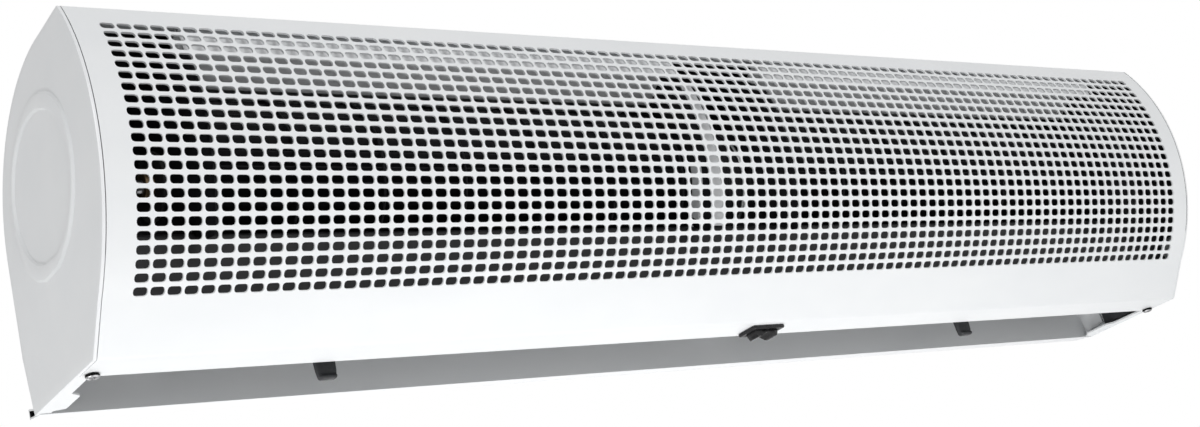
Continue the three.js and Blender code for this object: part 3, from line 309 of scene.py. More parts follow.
def finish(name, group, tone, shade, smooth, dull, bump, metallic=0.0, inside=None, shine=0.5):
    """A material whose group feeds Base Color, Roughness and, through a Bump of bump metres, Normal.
    With a colour for inside, the mask of painted shade blends the tone into that colour on the marked
    faces."""
    material = bpy.data.materials.new(name)
    material.use_nodes = True
    tree = material.node_tree
    shader = tree.nodes["Principled BSDF"].inputs
    given = {"Tone": (*tone, 1), "Shade": (*shade, 1), "Smooth": smooth, "Dull": dull}
    effect = add(tree, "Group", given, node_tree=group).outputs
    colour = effect["Color"]
    if inside is not None:
        mask = add(tree, "Group", node_tree=painted_shade).outputs["Mask"]
        colour = mixed(tree, mask, colour, (*inside, 1))
    relief = add(tree, "Bump", {"Strength": 1.0, "Distance": bump, "Height": effect[2]})
    tree.links.new(colour, shader["Base Color"])
    tree.links.new(effect["Roughness"], shader["Roughness"])
    tree.links.new(relief.outputs["Normal"], shader["Normal"])
    shader["Specular IOR Level"].default_value = shine
    shader["Metallic"].default_value = metallic
    FINISH[name] = material


# white_paint's inside colour is painted shade for the casing's inner faces
finish("white_paint", powder_coat, (0.86, 0.875, 0.885), (0.83, 0.848, 0.862), 0.3, 0.4, 0.00002,
       inside=(0.018, 0.018, 0.02))
finish("grey_paint", powder_coat, (0.77, 0.78, 0.79), (0.72, 0.73, 0.74), 0.38, 0.5, 0.00002)
# dark_paint is nearly black: painted shade for the bulkheads, their feet and the motor can; on the drums
# the black paint is real, its depth partly painted shade
finish("dark_paint", powder_coat, (0.012, 0.012, 0.014), (0.018, 0.018, 0.021), 0.3, 0.42, 0.00002,
       shine=0.15)
finish("zinc_sheet", grain, (0.62, 0.64, 0.66), (0.48, 0.5, 0.52), 0.3, 0.5, 0.000015, 0.9)
finish("aluminium", grain, (0.8, 0.81, 0.82), (0.6, 0.61, 0.62), 0.24, 0.42, 0.00002, 1.0)
finish("vane_aluminium", powder_coat, (0.72, 0.73, 0.74), (0.67, 0.68, 0.69), 0.32, 0.42, 0.00001)
# steel's inside colour is painted shade in the cover screws' recesses and edges
finish("steel", grain, (0.56, 0.56, 0.57), (0.38, 0.38, 0.39), 0.25, 0.42, 0.00001, 1.0,
       inside=(0.01, 0.01, 0.01))
finish("black_plastic", moulded, (0.008, 0.008, 0.009), (0.013, 0.013, 0.014), 0.22, 0.34, 0.00001,
       shine=0.3)
finish("dark_plastic", moulded, (0.045, 0.046, 0.05), (0.032, 0.033, 0.036), 0.34, 0.46, 0.00002,
       shine=0.35)
finish("rubber", moulded, (0.014, 0.014, 0.014), (0.022, 0.022, 0.021), 0.7, 0.85, 0.00004)
finish("copper", grain, (0.52, 0.2, 0.07), (0.3, 0.09, 0.03), 0.25, 0.4, 0.00008, 0.9)
finish("brass", grain, (0.2, 0.14, 0.075), (0.13, 0.09, 0.05), 0.4, 0.55, 0.00001, 0.7)
finish("pale_plastic", moulded, (0.74, 0.74, 0.7), (0.68, 0.68, 0.64), 0.4, 0.52, 0.00002)
for link in frame["record"]["subparts"]:
    node = frame["nodes"][link["node"]]
    node.material_slots[0].material = FINISH[link["material_slot"]]
print("finishes:", sorted(FINISH))

# %% [markdown]
# ## Making a piece from a surface
# A shape is a grid of points worked out as whole arrays. Quads join neighbouring points, and a mask
# leaves some of them out, which is how a sheet gets its holes. Sheet metal then gets its thickness
# from Solidify, and all edges sharper than a set angle stay crisp.

# %% Surface helpers
def mark_shaded_faces(obj, number, test=None):
    """Stores number on the faces whose normal and centre pass the test, for the mask of painted shade."""
    count = len(obj.data.polygons)
    normals, centres = np.empty((2, count * 3))
    obj.data.polygons.foreach_get("normal", normals)
    obj.data.polygons.foreach_get("center", centres)
    normals, centres = normals.reshape(-1, 3), centres.reshape(-1, 3)
    inside = np.ones(count, bool) if test is None else test(normals, centres)
    stored = obj.data.attributes.new("painted_shade", "FLOAT", "FACE")
    stored.data.foreach_set("value", (inside * float(number)).astype(np.float32))
    return int(inside.sum())


def grid_quads(rows, columns, keep=None, wrap=False):
    """Quads (i,j), (i+1,j), (i+1,j+1), (i,j+1) of a grid numbered row by row; wrap joins the last row
    to the first."""
    i, j = np.meshgrid(np.arange(rows if wrap else rows - 1), np.arange(columns - 1), indexing="ij")
    after = (i + 1) % rows
    near, far = i * columns + j, after * columns + j
    quads = np.stack([near, far, far + 1, near + 1], -1).reshape(-1, 4)
    return quads if keep is None else quads[np.asarray(keep).ravel()]


def piece(name, points, faces, look, body="casing", stands_for=(), thickness=0.0, crease=38.0, flip=False,
          middle=False, closed=False):
    """A mesh object from points in metres and faces. Equal points are merged. A thickness in millimetres
    is laid behind the surface, or half on each side with middle. A closed surface is turned outwards."""
    mesh = bpy.data.meshes.new(name)
    faces = [tuple(reversed(f)) if flip else tuple(f) for f in faces]
    mesh.from_pydata(np.asarray(points).reshape(-1, 3).tolist(), [], faces)
    shaped = bmesh.new()
    shaped.from_mesh(mesh)
    bmesh.ops.remove_doubles(shaped, verts=shaped.verts, dist=2e-6)
    bmesh.ops.dissolve_degenerate(shaped, dist=1e-7, edges=shaped.edges)
    loose = [v for v in shaped.verts if not v.link_faces]
    bmesh.ops.delete(shaped, geom=loose, context="VERTS")
    if closed:
        bmesh.ops.recalc_face_normals(shaped, faces=shaped.faces)
    shaped.to_mesh(mesh)
    shaped.free()
    obj = bpy.data.objects.new(name, mesh)
    scene.collection.objects.link(obj)
    if thickness:
        wall = obj.modifiers.new("thickness", "SOLIDIFY")
        wall.thickness = thickness * 0.001
        wall.offset = 0.0 if middle else -1.0
        wall.use_even_offset = True
        wall.use_quality_normals = True
        seen = obj.evaluated_get(bpy.context.evaluated_depsgraph_get())
        obj.data = bpy.data.meshes.new_from_object(seen)
        obj.data.name = name
        obj.modifiers.clear()
    obj.data.shade_smooth()
    obj.data.set_sharp_from_angle(angle=math.radians(crease))
    obj.data.materials.clear()
    obj.data.materials.append(FINISH[look])
    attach(obj, body)
    if stands_for:
        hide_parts(*stands_for)
    return obj


def rounded(corners, radii, steps=4):
    """A line of (depth, height) corners, each inner one replaced by an arc that touches both its sides:
    centre = corner + (u + v) / |u + v| * r / sin(half angle), u and v the directions to its neighbours."""
    corners = [np.asarray(c, float) for c in corners]
    line = [corners[0]]
    for before, corner, after, radius in zip(corners, corners[1:], corners[2:], radii):
        u, v = before - corner, after - corner
        u, v = u / np.linalg.norm(u), v / np.linalg.norm(v)
        half = math.acos(float(np.clip(u @ v, -1, 1))) / 2
        if radius <= 0 or half > math.radians(88):
            line.append(corner)
            continue
        centre = corner + (u + v) / np.linalg.norm(u + v) * radius / math.sin(half)
        start, end = corner + u * radius / math.tan(half), corner + v * radius / math.tan(half)
        share = np.linspace(0, 1, steps + 1)[:, None]
        chord = start * (1 - share) + end * share - centre
        line.extend(centre + radius * chord / np.linalg.norm(chord, axis=1, keepdims=True))
    line.append(corners[-1])
    return np.array(line)


def along(line, xs):
    """The surface of a (depth, height) line carried along the x values: a grid of len(xs) by len(line)."""
    xs = np.asarray(xs, float)
    return place(xs[:, None], line[None, :, 0], line[None, :, 1])


def sheet(name, line, xs, look, stands_for, keep=None, **how):
    """A sheet with a (depth, height) line as its section, carried along the x values."""
    faces = grid_quads(len(xs), len(line), keep)
    return piece(name, along(line, xs), faces, look, stands_for=stands_for, **how)


def wrapped(name, grid, look, body, stands_for, **how):
    """A piece from a grid of points whose last row joins its first."""
    return piece(name, grid, grid_quads(*grid.shape[:2], wrap=True), look, body, stands_for, **how)


def revolve(profile, depth, height, segments=64, axis="x", x=0.0):
    """Rows of (place, radius) turned about an axis along X, along depth or upright: the point at an
    angle a is place along the axis plus radius (cos a, sin a) across it. Returns a grid by angle."""
    profile = np.asarray(profile, float)
    angle = -np.linspace(0, 2 * math.pi, segments, endpoint=False)[:, None]
    along_axis, radius = profile[None, :, 0], profile[None, :, 1]
    first, second = radius * np.cos(angle), radius * np.sin(angle)
    if axis == "x":
        return place(along_axis + 0 * first, depth + first, height + second)
    if axis == "depth":
        return place(x + second, along_axis + 0 * first, height + first)
    return place(x + first, depth + second, along_axis + 0 * first)


def turned(name, profile, look, body, stands_for, depth, height, segments=64, **where):
    """A closed body from a closed profile of (place, radius), or one that ends on the axis."""
    grid = revolve(profile, depth, height, segments, **where)
    return wrapped(name, grid, look, body, stands_for, closed=True)


def loft(name, loops, look, body, stands_for, crease=38.0):
    """A closed body through a stack of loops, an array (stack, around, 3), with a flat face at each end."""
    around = np.swapaxes(np.asarray(loops), 0, 1)
    n, m = around.shape[:2]
    faces = [tuple(q) for q in grid_quads(n, m, wrap=True)]
    faces += [tuple(np.arange(n) * m), tuple(np.arange(n) * m + m - 1)]
    return piece(name, around, faces, look, body, stands_for, crease=crease, closed=True)


def bar(name, xs, loop, centre, sizes, look, body, stands_for, crease=38.0):
    """A closed body along X: at each x a (depth, height) loop, centre + (loop - centre) * size."""
    loops = np.array(centre) + (loop - np.array(centre)) * np.array(sizes)[:, None, None]
    points = place(np.asarray(xs)[:, None], loops[..., 0], loops[..., 1])
    return loft(name, points, look, body, stands_for, crease)


def round_box(width, height, radius, steps=4):
    """A rounded rectangle round (0, 0): corners at (+-(w/2 - r), +-(h/2 - r)) plus quarter circles."""
    angle = np.radians(np.linspace(0, 90, steps + 1))[None, :] + np.radians([[0], [90], [180], [270]])
    corner = np.array([(1, 1), (-1, 1), (-1, -1), (1, -1)]) * [width / 2 - radius, height / 2 - radius]
    return (corner[:, None, :] + radius * np.stack([np.cos(angle), np.sin(angle)], -1)).reshape(-1, 2)


def faces_to(depth, height):
    """A test for mark_shaded_faces: does a face look towards the line at this depth and height?"""
    middle = place(0, depth, height)
    return lambda normal, centre: ((middle - centre) * normal)[:, 1:].sum(1) > 0


def soft_corners(profile, radius):
    """A closed profile of (place, radius) corners with every corner rounded."""
    corners = [*profile, profile[0], profile[1]]
    return rounded(corners, [radius] * len(profile), 2)[1:-1]


print("surface helpers ready")

# %% [markdown]
# ## The punched cover
# The front is one sheet, rolled to a 135 mm radius and punched with 22 rows of 92 rounded holes. The
# holes are real, because light and the view go through them. A grid of lines follows the cover, and
# inside the punched field each cell is a ring of twelve quads between its border and its hole. The
# switch's opening in the underside takes the nearest lines of the grid, moved to its own edges.

# %% Cover section
LENGTH, SHEET = 900.0, 1.2
COVER_END = 447.6  # half the cover's length
FRONT = (20.0, 114.0)
FRONT_RADIUS = 135.0
ROWS, COLUMNS = 22, 92
ROW_PITCH, COLUMN_PITCH = 3.098, 9.4  # degrees, millimetres
FIELD_LOW = -40.94  # degrees, where the punched field begins
FIELD_HIGH = FIELD_LOW + ROWS * ROW_PITCH
FOLD_END = 441.0  # the lip's fold stops here
HOLE = (8.0, 5.0, 1.8)  # width, height, corner radius
LIP, BEND, COVER_TOP, RIDGE_FLANGE, FOLD = 76.0, 103.5, 187.6, 17.0, 9.0
ridge_depth = FRONT[0] + math.sqrt(FRONT_RADIUS**2 - (COVER_TOP - FRONT[1]) ** 2)
straight = HOLE[1] / 2 - HOLE[2]  # half the straight part of a hole's side

half_row = np.radians(ROW_PITCH) * FRONT_RADIUS / 2
row_lines = np.degrees(np.array([0.0, half_row - straight, half_row + straight]) / FRONT_RADIUS)
field_angles = np.append((FIELD_LOW + ROW_PITCH * np.arange(ROWS)[:, None] + row_lines).ravel(), FIELD_HIGH)
field_line = on_arc(FRONT, FRONT_RADIUS, field_angles)
HOLE_X, HOLE_DEPTH = (6.0, 28.0), (81.9, 96.1)  # the switch's opening, from and to
lower = rounded([(LIP, FOLD), (LIP, 0), (HOLE_DEPTH[0], 0), (HOLE_DEPTH[1], 0), (BEND, 0), field_line[0]],
                [1.4, 0, 0, 2.2], 3)[:-1]
upper = rounded([field_line[-1], on_arc(FRONT, FRONT_RADIUS, 30.2), (ridge_depth, COVER_TOP),
                 (ridge_depth - RIDGE_FLANGE, COVER_TOP)], [0, 1.3], 3)[1:]
cover_line = np.vstack([lower, field_line, upper])
print("points in the cover's section:", len(cover_line))

# %% Cover surface
half = COLUMN_PITCH / 2
inner = HOLE[0] / 2 - HOLE[2]
column_starts = -COLUMNS * half + COLUMN_PITCH * np.arange(COLUMNS)
column_lines = (column_starts[:, None] + [0.0, half - inner, half + inner]).ravel()
cover_x = np.concatenate([[-COVER_END, -FOLD_END], column_lines, [COLUMNS * half, FOLD_END, COVER_END]])
first_x, first_row = 2, len(lower)
grid = along(cover_line, cover_x)
hole_left, hole_right = (int(np.argmin(abs(cover_x - x))) for x in (6.9, 28.2))
hole_row = int(np.argmin(abs(cover_line - (HOLE_DEPTH[0], 0)).sum(axis=1)))
for line, edge in ((hole_left, HOLE_X[0]), (hole_right, HOLE_X[1])):
    grid[line, hole_row:hole_row + 2, 0] = edge * 0.001


def hole_border(width, height, radius):
    """Twelve (x, up) points round a rounded rectangle, from the right side anticlockwise:
    each corner is the end of a side, the 45 degree point of its arc and the start of the next."""
    a, b, s = width / 2, height / 2, radius * math.sqrt(0.5)
    corner = np.array([(a, b - radius), (a - radius + s, b - radius + s), (a - radius, b)])
    mirror = np.array([(1, 1), (-1, 1), (-1, -1), (1, -1)])
    ring = [(corner if k % 2 == 0 else corner[::-1]) * mirror[k] for k in range(4)]
    return np.roll(np.vstack(ring), 1, axis=0)


border = hole_border(*HOLE)
hole_x = column_starts[:, None, None] + half + border[None, None, :, 0]
row_middle = FIELD_LOW + ROW_PITCH * (np.arange(ROWS) + 0.5)
hole_angle = row_middle[None, :, None] + np.degrees(border[None, None, :, 1] / FRONT_RADIUS)
hole_x, hole_angle = np.broadcast_arrays(hole_x, hole_angle)
rim = on_arc(FRONT, FRONT_RADIUS, hole_angle)
hole_points = place(hole_x, rim[..., 0], rim[..., 1])

ring_i = np.array([3, 3, 3, 3, 2, 1, 0, 0, 0, 0, 1, 2])
ring_j = np.array([0, 1, 2, 3, 3, 3, 3, 2, 1, 0, 0, 0])
outer_i = first_x + 3 * np.arange(COLUMNS)[:, None, None] + ring_i
outer_j = first_row + 3 * np.arange(ROWS)[None, :, None] + ring_j
outer = outer_i * len(cover_line) + outer_j
hole = grid[..., 0].size + np.arange(hole_x.size).reshape(hole_x.shape)
rings = np.stack([outer, np.roll(outer, -1, 2), np.roll(hole, -1, 2), hole], -1).reshape(-1, 4)

keep = np.ones((len(cover_x) - 1, len(cover_line) - 1), bool)
keep[first_x:first_x + 3 * COLUMNS, first_row:first_row + 3 * ROWS] = False
keep[np.ix_([0, -1], [0])] = False  # the fold stops short of the ends
keep[hole_left:hole_right, hole_row] = False
cover = piece(
    "punched_cover", np.vstack([grid.reshape(-1, 3), hole_points.reshape(-1, 3)]),
    np.vstack([grid_quads(len(cover_x), len(cover_line), keep), rings]),
    "white_paint", stands_for=["front_cover"], thickness=SHEET,
)
print("cover:", len(cover.data.polygons), "faces")

# %% [markdown]
# ## The rear shell
# The top and back are one sheet too: flat on top, a wide bend, and flat down the wall. Its lower
# edge leans forward to the outlet and is folded into a hollow hem. The slots for the wall plate's
# hooks and the cable's hole are left out of its grid.

# %% Shell
SHELL_TOP, BACK_RADIUS, STAND_OFF, MOUTH = 186.0, 95.0, 9.0, 14.0
BACK = (STAND_OFF + BACK_RADIUS, SHELL_TOP - BACK_RADIUS)
shell_edge = ridge_depth - SHEET - 5.0
GROMMET, CABLE_HOLE = (417.0, 52.0), 7.2  # x and height, half the hole's width
HOOK_X, SLOT_HALF, SLOT_TOP = 220.0, 22.0, 85.9
bend_back = on_arc(BACK, BACK_RADIUS, np.linspace(90, 180, 37))
cable_top, cable_low = GROMMET[1] + CABLE_HOLE, GROMMET[1] - CABLE_HOLE
flat_back = np.array([(STAND_OFF, h) for h in (SLOT_TOP, 72.9, cable_top, cable_low, 34.0)])
shell_line = np.vstack([
    rounded([(shell_edge, 176.0), (shell_edge, SHELL_TOP), (BACK[0] + 1, SHELL_TOP)], [1.6], 4),
    bend_back, flat_back, on_arc((STAND_OFF + 60, 34.0), 60, [184.8, 189.6]), [(MOUTH, 0.0)],
])
slot_from, slot_to = HOOK_X - SLOT_HALF, HOOK_X + SLOT_HALF
shell_x = np.array([-COVER_END, -slot_to, -slot_from, slot_from, slot_to,
                    GROMMET[0] - CABLE_HOLE, GROMMET[0] + CABLE_HOLE, COVER_END])
keep = np.ones((len(shell_x) - 1, len(shell_line) - 1), bool)
keep[[1, 3], int(np.argmin(abs(shell_line[:, 1] - SLOT_TOP)))] = False
keep[5, int(np.argmin(abs(shell_line[:, 1] - cable_top)))] = False
shell = sheet("shell_sheet", shell_line, shell_x, "white_paint", ["rear_shell"], keep, thickness=SHEET)
# painted shade: the shell's inner faces are coloured near-black above the outlet
print("dark faces of the shell:", mark_shaded_faces(shell, 1, faces_to(76.0, 100.0)))

hem_loop = rounded([(7, 1.0), (0.0, 2.0), (0.0, 8.2), (MOUTH, 4.3), (MOUTH + 0.5, 0.0), (7, 1.0)],
                   [0.7, 0.7, 0.3, 0.5], 3)[:-1]
hem_x = np.array([-COVER_END, COVER_END])
hem = place(hem_x[None, :], hem_loop[:, None, 0], hem_loop[:, None, 1])
hem = wrapped("shell_hem", hem, "white_paint", "casing", ["rear_shell"], thickness=SHEET * 0.9)
# painted shade: the faces inside the hollow hem are coloured near-black
print("dark faces of the hem:", mark_shaded_faces(hem, 2, faces_to(6.5, 4.6)))
print("points in the shell's section:", len(shell_line))

# %% [markdown]
# ## The shell's end flanges
# At both ends the shell is turned in, 20 mm deep, and the end plates lie against it. It shows as
# a pale strip inside the outlet.

# %% End flanges
flange_line = np.vstack([[(shell_edge - 1, SHELL_TOP)], bend_back, [(STAND_OFF, 34.0), (13.3, 4.0)]])
away = np.gradient(flange_line, axis=0)
away = np.stack([-away[:, 1], away[:, 0]], -1) / np.linalg.norm(away, axis=1, keepdims=True)
across = np.stack([flange_line + away * d for d in (0.6, 10.0, 19.0, 20.0)])
for side, name in SIDES:
    points = place(side * (COVER_END - 0.05), across[..., 0], across[..., 1])
    flange = piece(f"shell_flange_{name}", points, grid_quads(*across.shape[:2]), "white_paint",
                   stands_for=["rear_shell"], thickness=SHEET, flip=side < 0)
    # painted shade: above the outlet the flanges are coloured near-black, near the outlet they stay pale
    mark_shaded_faces(flange, 1)
print("flanges at both ends, 20 mm wide")

# %% [markdown]
# ## End plates
# Each end is closed by a plate with a tilted oval pressed outwards and, within it, a circle pressed
# back in, on the fans' axis. The plate is a fan of rings about that axis: each ring has a radius that
# may change with direction, and a height out of the plate.

# %% End plate faces
AXIS = (75.6, 108.4)
OVAL, OVAL_TILT = (46.5, 51.8), math.radians(33)


def from_axis(outline):
    """Length and unit direction of the lines from the fans' axis to the points of an outline."""
    spokes = outline - AXIS
    far = np.linalg.norm(spokes, axis=1)
    return far, spokes / far[:, None]


def rings_round_axis(radii, outs, direction, x):
    """Rings of points round the fans' axis: axis + radius * direction, each ring out from a plate at x."""
    radii = np.stack(np.broadcast_arrays(*radii))
    return place(x + outs[:, None], AXIS[0] + radii * direction[:, 0], AXIS[1] + radii * direction[:, 1])


front_dense = np.vstack([
    rounded([(BEND - 14, 0), (BEND, 0), field_line[0]], [2.2], 4),
    on_arc(FRONT, FRONT_RADIUS, np.linspace(FIELD_LOW, 31.5, 60)),
    rounded([on_arc(FRONT, FRONT_RADIUS, 32.0), (ridge_depth, COVER_TOP),
             (ridge_depth - 9, COVER_TOP - 0.4)], [1.0], 4),
])
back_dense = np.vstack([
    [(BACK[0], SHELL_TOP)], bend_back, [(STAND_OFF, 60), (STAND_OFF, 34), (11.5, 16), (MOUTH, 0), (45, 0)],
])
outline = np.vstack([front_dense, back_dense])
far, direction = from_axis(outline)
# the oval's radius by direction: 1 / sqrt((u / 46.5)^2 + (v / 51.8)^2), u and v along its own axes
u = direction[:, 0] * math.cos(OVAL_TILT) - direction[:, 1] * math.sin(OVAL_TILT)
v = direction[:, 0] * math.sin(OVAL_TILT) + direction[:, 1] * math.cos(OVAL_TILT)
oval = 1 / np.sqrt((u / OVAL[0]) ** 2 + (v / OVAL[1]) ** 2)
radii = [0, 20, 41.3, 41.5, 42.4, 42.6, oval - 1.3, oval - 1.1, oval - 0.2, oval,
         far - 6, far - 0.6, far - 0.15, far, far, far - 0.6, 0]
outs = np.array([0.1, 0.1, 0.1, 0.15, 1.4, 1.5, 1.5, 1.4, 0.05, 0, 0, 0, -0.15, -0.6, -1.9, -2.0, -2.0])
for side, name in SIDES:
    rows = np.swapaxes(rings_round_axis(radii, side * outs, direction, side * LENGTH / 2), 0, 1)
    plate = wrapped(f"end_face_{name}", rows, "white_paint", "casing", [f"end_plate_{name}"],
                    flip=side < 0, crease=50)
    # painted shade: the plates' inner faces are coloured near-black above the outlet
    mark_shaded_faces(plate, 1, lambda normal, centre: normal[:, 0] * side < -0.5)
print("end plate outline:", len(outline), "points")

# %% [markdown]
# ## The end plates' flange at the outlet
# Along the outlet each plate is turned in. The flange is 8 mm wide and swells to 14.5 mm over its
# rear half. The swelling is a smooth step up and a smooth step down.

# %% Outlet flanges
flange_depth = np.linspace(15.8, 90.0, 75)


def smooth_step(t):
    """3 t^2 - 2 t^3 of t clipped to 0..1."""
    t = np.clip(t, 0, 1)
    return 3 * t**2 - 2 * t**3


swell = smooth_step((flange_depth - 18.5) / 4) * (1 - smooth_step((flange_depth - 43) / 6))
width = 8.0 + 6.5 * swell
reach_in = np.stack([width * 0, width * 0.5, width - 0.5, width], 1)
for side, name in SIDES:
    points = place(side * (LENGTH / 2 - 0.5 - reach_in), flange_depth[:, None], 1.6)
    piece(f"outlet_flange_{name}", points, grid_quads(*reach_in.shape), "white_paint",
          stands_for=[f"end_plate_{name}"], thickness=SHEET, flip=side > 0)
print("flange width from", width.min(), "to", width.max())

# %% [markdown]
# ## Scrolls and tongue
# Each drum turns inside a scroll: a sheet that guides the air off the cover's back face, over the
# drum and down to the outlet. Its radius grows evenly with the angle, which makes it a spiral. The
# tongue closes the outlet in front of the drum, with a small round nose close to the blades. Its faces
# that look to the room carry painted shade: they are coloured near-black, as nothing pale shows there
# through the holes.

# %% Scrolls
SPIRAL = np.linspace(0, 1, 49)
guide = on_arc(FRONT, np.linspace(126.4, 130.0, 8), np.linspace(21.6, 30.0, 8))
spiral = on_arc(AXIS, 55.5 + 4.5 * SPIRAL, 60 + 128 * SPIRAL)
scroll_line = np.vstack([guide, [(128.3, 173.0)], spiral, [(13.8, 46.0), (11.8, 42.4), (11.8, 36.0)]])
radii = np.zeros(len(scroll_line) - 2)
radii[[len(guide) - 2, len(guide) - 1]] = [1.2, 3.0]
scroll_line = rounded(scroll_line, radii, 4)
for side, name in SIDES:
    sheet(f"scroll_sheet_{name}", scroll_line, np.sort([side * 38.15, side * 384.85]), "grey_paint",
          [f"scroll_{name}"], thickness=SHEET, flip=True)
print("points in the scroll's section:", len(scroll_line))

# %% Tongue
nose = on_arc(AXIS, 58.0, -54.0)
nose_arc = on_arc(nose, 4.0, np.linspace(140, -5, 15))
tongue_line = np.vstack([rounded([(77.6, 1.7), (77.6, 33.0), nose_arc[0]], [5.0], 5)[:-1], nose_arc,
                         [(115.55, 20.0)]])
tongue = sheet("tongue_sheet", tongue_line, [-440.0, 440.0], "white_paint", ["tongue_plate"],
               thickness=SHEET, flip=True)
# painted shade: the faces that look to the room are coloured near-black
print("dark faces of the tongue:", mark_shaded_faces(tongue, 2, lambda normal, centre: normal[:, 1] < 0.2))
print("nose of the tongue at depth, height:", nose.round(1))

# %% [markdown]
# ## Bulkheads
# Four plates stand across the casing. Two carry the outer bearings, two carry the motor. As with the
# end plates, each is a fan of rings about the fans' axis, here round a hole, and a bead is pressed
# round the hole to stiffen it. A bent foot holds each one to the back. Plates and feet are coloured
# near-black as painted shade for the inside of the casing. The white gusset on the left motor bulkhead
# is a guess from a bright patch in the photograph: the CAD model has no such part. Its white stands
# for light falling on that plate, a painted highlight against the plate's painted shade.

# %% Bulkhead plates
BULKHEAD_LOW, BULKHEAD_TOP = 46.2, 182.6
PLATE_FACE = -37.75  # the left face of the left motor bulkhead
profile_out = np.array([0.45, 0.75, 0.75, 0.3, 0.3, 0.75, 0.75, 0.45, -0.45, -0.75,
                        -0.75, -1.0, -1.0, -0.75, -0.75, -0.45])
for name, middle, turn, inset, hole_radius in (
    ("end_bulkhead_left", -386.0, 1, 2.0, 17.7), ("motor_bulkhead_left", -37.0, -1, 10.0, 15.7),
    ("motor_bulkhead_right", 37.0, 1, 10.0, 15.7), ("end_bulkhead_right", 386.0, -1, 2.0, 17.7),
):
    outline = np.vstack([
        [(depth, BULKHEAD_LOW) for depth in (12.4, 30, 55, 80, 94.5)],
        on_arc(nose, 6.0, np.linspace(140, 0, 9)), [(122, 57.0), (130, 55.5)],
        on_arc(FRONT, FRONT_RADIUS - SHEET - inset, np.linspace(-27, 20, 16)), [(118, 171.0), (105, 178.0)],
        on_arc(BACK, BACK_RADIUS - SHEET - 2, np.linspace(95, 180, 30)), [(12.2, 70.0)],
    ])
    outline[:, 1] = np.minimum(outline[:, 1], BULKHEAD_TOP)
    far, direction = from_axis(outline)
    bead = [hole_radius, hole_radius + 0.3, 24, 25, 26.5, 27.5]
    radii = [*bead, far - 0.3, far, far, far - 0.3, *bead[::-1]]
    grid = rings_round_axis(radii, profile_out * turn, direction, middle)
    rows = np.swapaxes(np.concatenate([grid, grid[:1]]), 0, 1)
    # painted shade: near-black plates for the shade inside the casing
    wrapped(name + "_plate", rows, "dark_paint", "casing", [name], closed=True, crease=50)
    foot = rounded([(0.0, 12.4), (0.0, 10.6), (12.0, 10.6)], [1.6], 4)
    foot_heights = np.array([BULKHEAD_LOW, 89.8])[:, None]
    points = place(middle + turn * foot[None, :, 0], foot[None, :, 1], foot_heights)
    # painted shade: near-black feet, as for the plates
    piece(name + "_foot", points, grid_quads(2, len(foot)), "dark_paint", stands_for=[name], thickness=1.4,
          flip=turn > 0)
strip = on_arc(FRONT, FRONT_RADIUS - SHEET - 10, np.linspace(-27, 20, 24))
sheet("grille_strip", strip, [PLATE_FACE, PLATE_FACE + 9.0], "grey_paint", ["motor_bulkhead_left"],
      thickness=1.5)
# painted highlight: a white patch where light falls on the plate's painted shade
gusset = on_arc(AXIS, np.linspace(51.5, 60.5, 4), np.linspace(-44, -7, 16)[:, None])
points = place(PLATE_FACE, gusset[..., 0], gusset[..., 1])
piece("strip_gusset", points, grid_quads(16, 4), "white_paint", stands_for=["motor_bulkhead_left"],
      thickness=1.2)
print("bulkheads at x = -386, -37, 37, 386")

# %% [markdown]
# ## Fan drums
# A cross-flow drum is a cage of long narrow blades between discs. Its blades curve forward like a
# row of gutters. One blade's line is worked out for all blades at once by adding each blade's angle
# to it.

# %% Blades and discs
BLADES, RINGS = 34, 7
DISC_EDGE, RING_EDGE = 49.95, 38.6
share = np.linspace(0, 1, 5)
blade_radius = 39.4 + 9.4 * share
blade_angle = 11 * share**1.7 + 4 * np.sin(math.pi * share)
for side, name in SIDES:
    turn_by = 360 / BLADES * np.arange(BLADES)[:, None] + blade_angle
    lines = on_arc(AXIS, blade_radius, turn_by)  # blade, point, (depth, height)
    xs = np.sort([side * 44.6, side * 378.4])
    grid = place(xs[None, :, None], lines[:, None, :, 0], lines[:, None, :, 1])
    quads = grid_quads(2, 5)[None] + 10 * np.arange(BLADES)[:, None, None]
    # black paint on the blades, deepened to near-black as painted shade of the casing's inside
    piece(f"fan_blades_{name}", grid, quads.reshape(-1, 4), "dark_paint", "rotor", [f"fan_drum_{name}"],
          thickness=0.8, middle=True)
    places = side * np.linspace(44.55, 378.45, RINGS)
    inner_edge = np.where(np.isin(np.arange(RINGS), (0, RINGS - 1)), 14.0, RING_EDGE)
    section = np.array([(-0.7, 0), (-0.7, 1), (-0.35, 1), (0.35, 1), (0.7, 1), (0.7, 0), (-0.7, 0)])
    radius = inner_edge[:, None] + section[:, 1] * (DISC_EDGE - inner_edge[:, None])
    radius[:, [1, 4]] -= 0.35
    angle = np.linspace(0, 2 * math.pi, 96, endpoint=False)[None, :, None]
    room, up = radius[:, None, :] * np.cos(angle), radius[:, None, :] * np.sin(angle)
    discs = place((places[:, None] + section[:, 0])[:, None, :], AXIS[0] + room, AXIS[1] + up)
    quads = grid_quads(96, 7, wrap=True)[None] + 96 * 7 * np.arange(RINGS)[:, None, None]
    # black paint on the discs, deepened to near-black as painted shade, as for the blades
    piece(f"fan_discs_{name}", discs, quads.reshape(-1, 4), "dark_paint", "rotor", [f"fan_drum_{name}"],
          closed=True)
print("drums with", BLADES, "blades and", RINGS, "discs each")

# %% [markdown]
# ## What turns and what holds it
# Hubs, axles, bearings and the motor are turned parts. Each is a profile of places along the axis
# and radii, with its corners broken by a small radius.

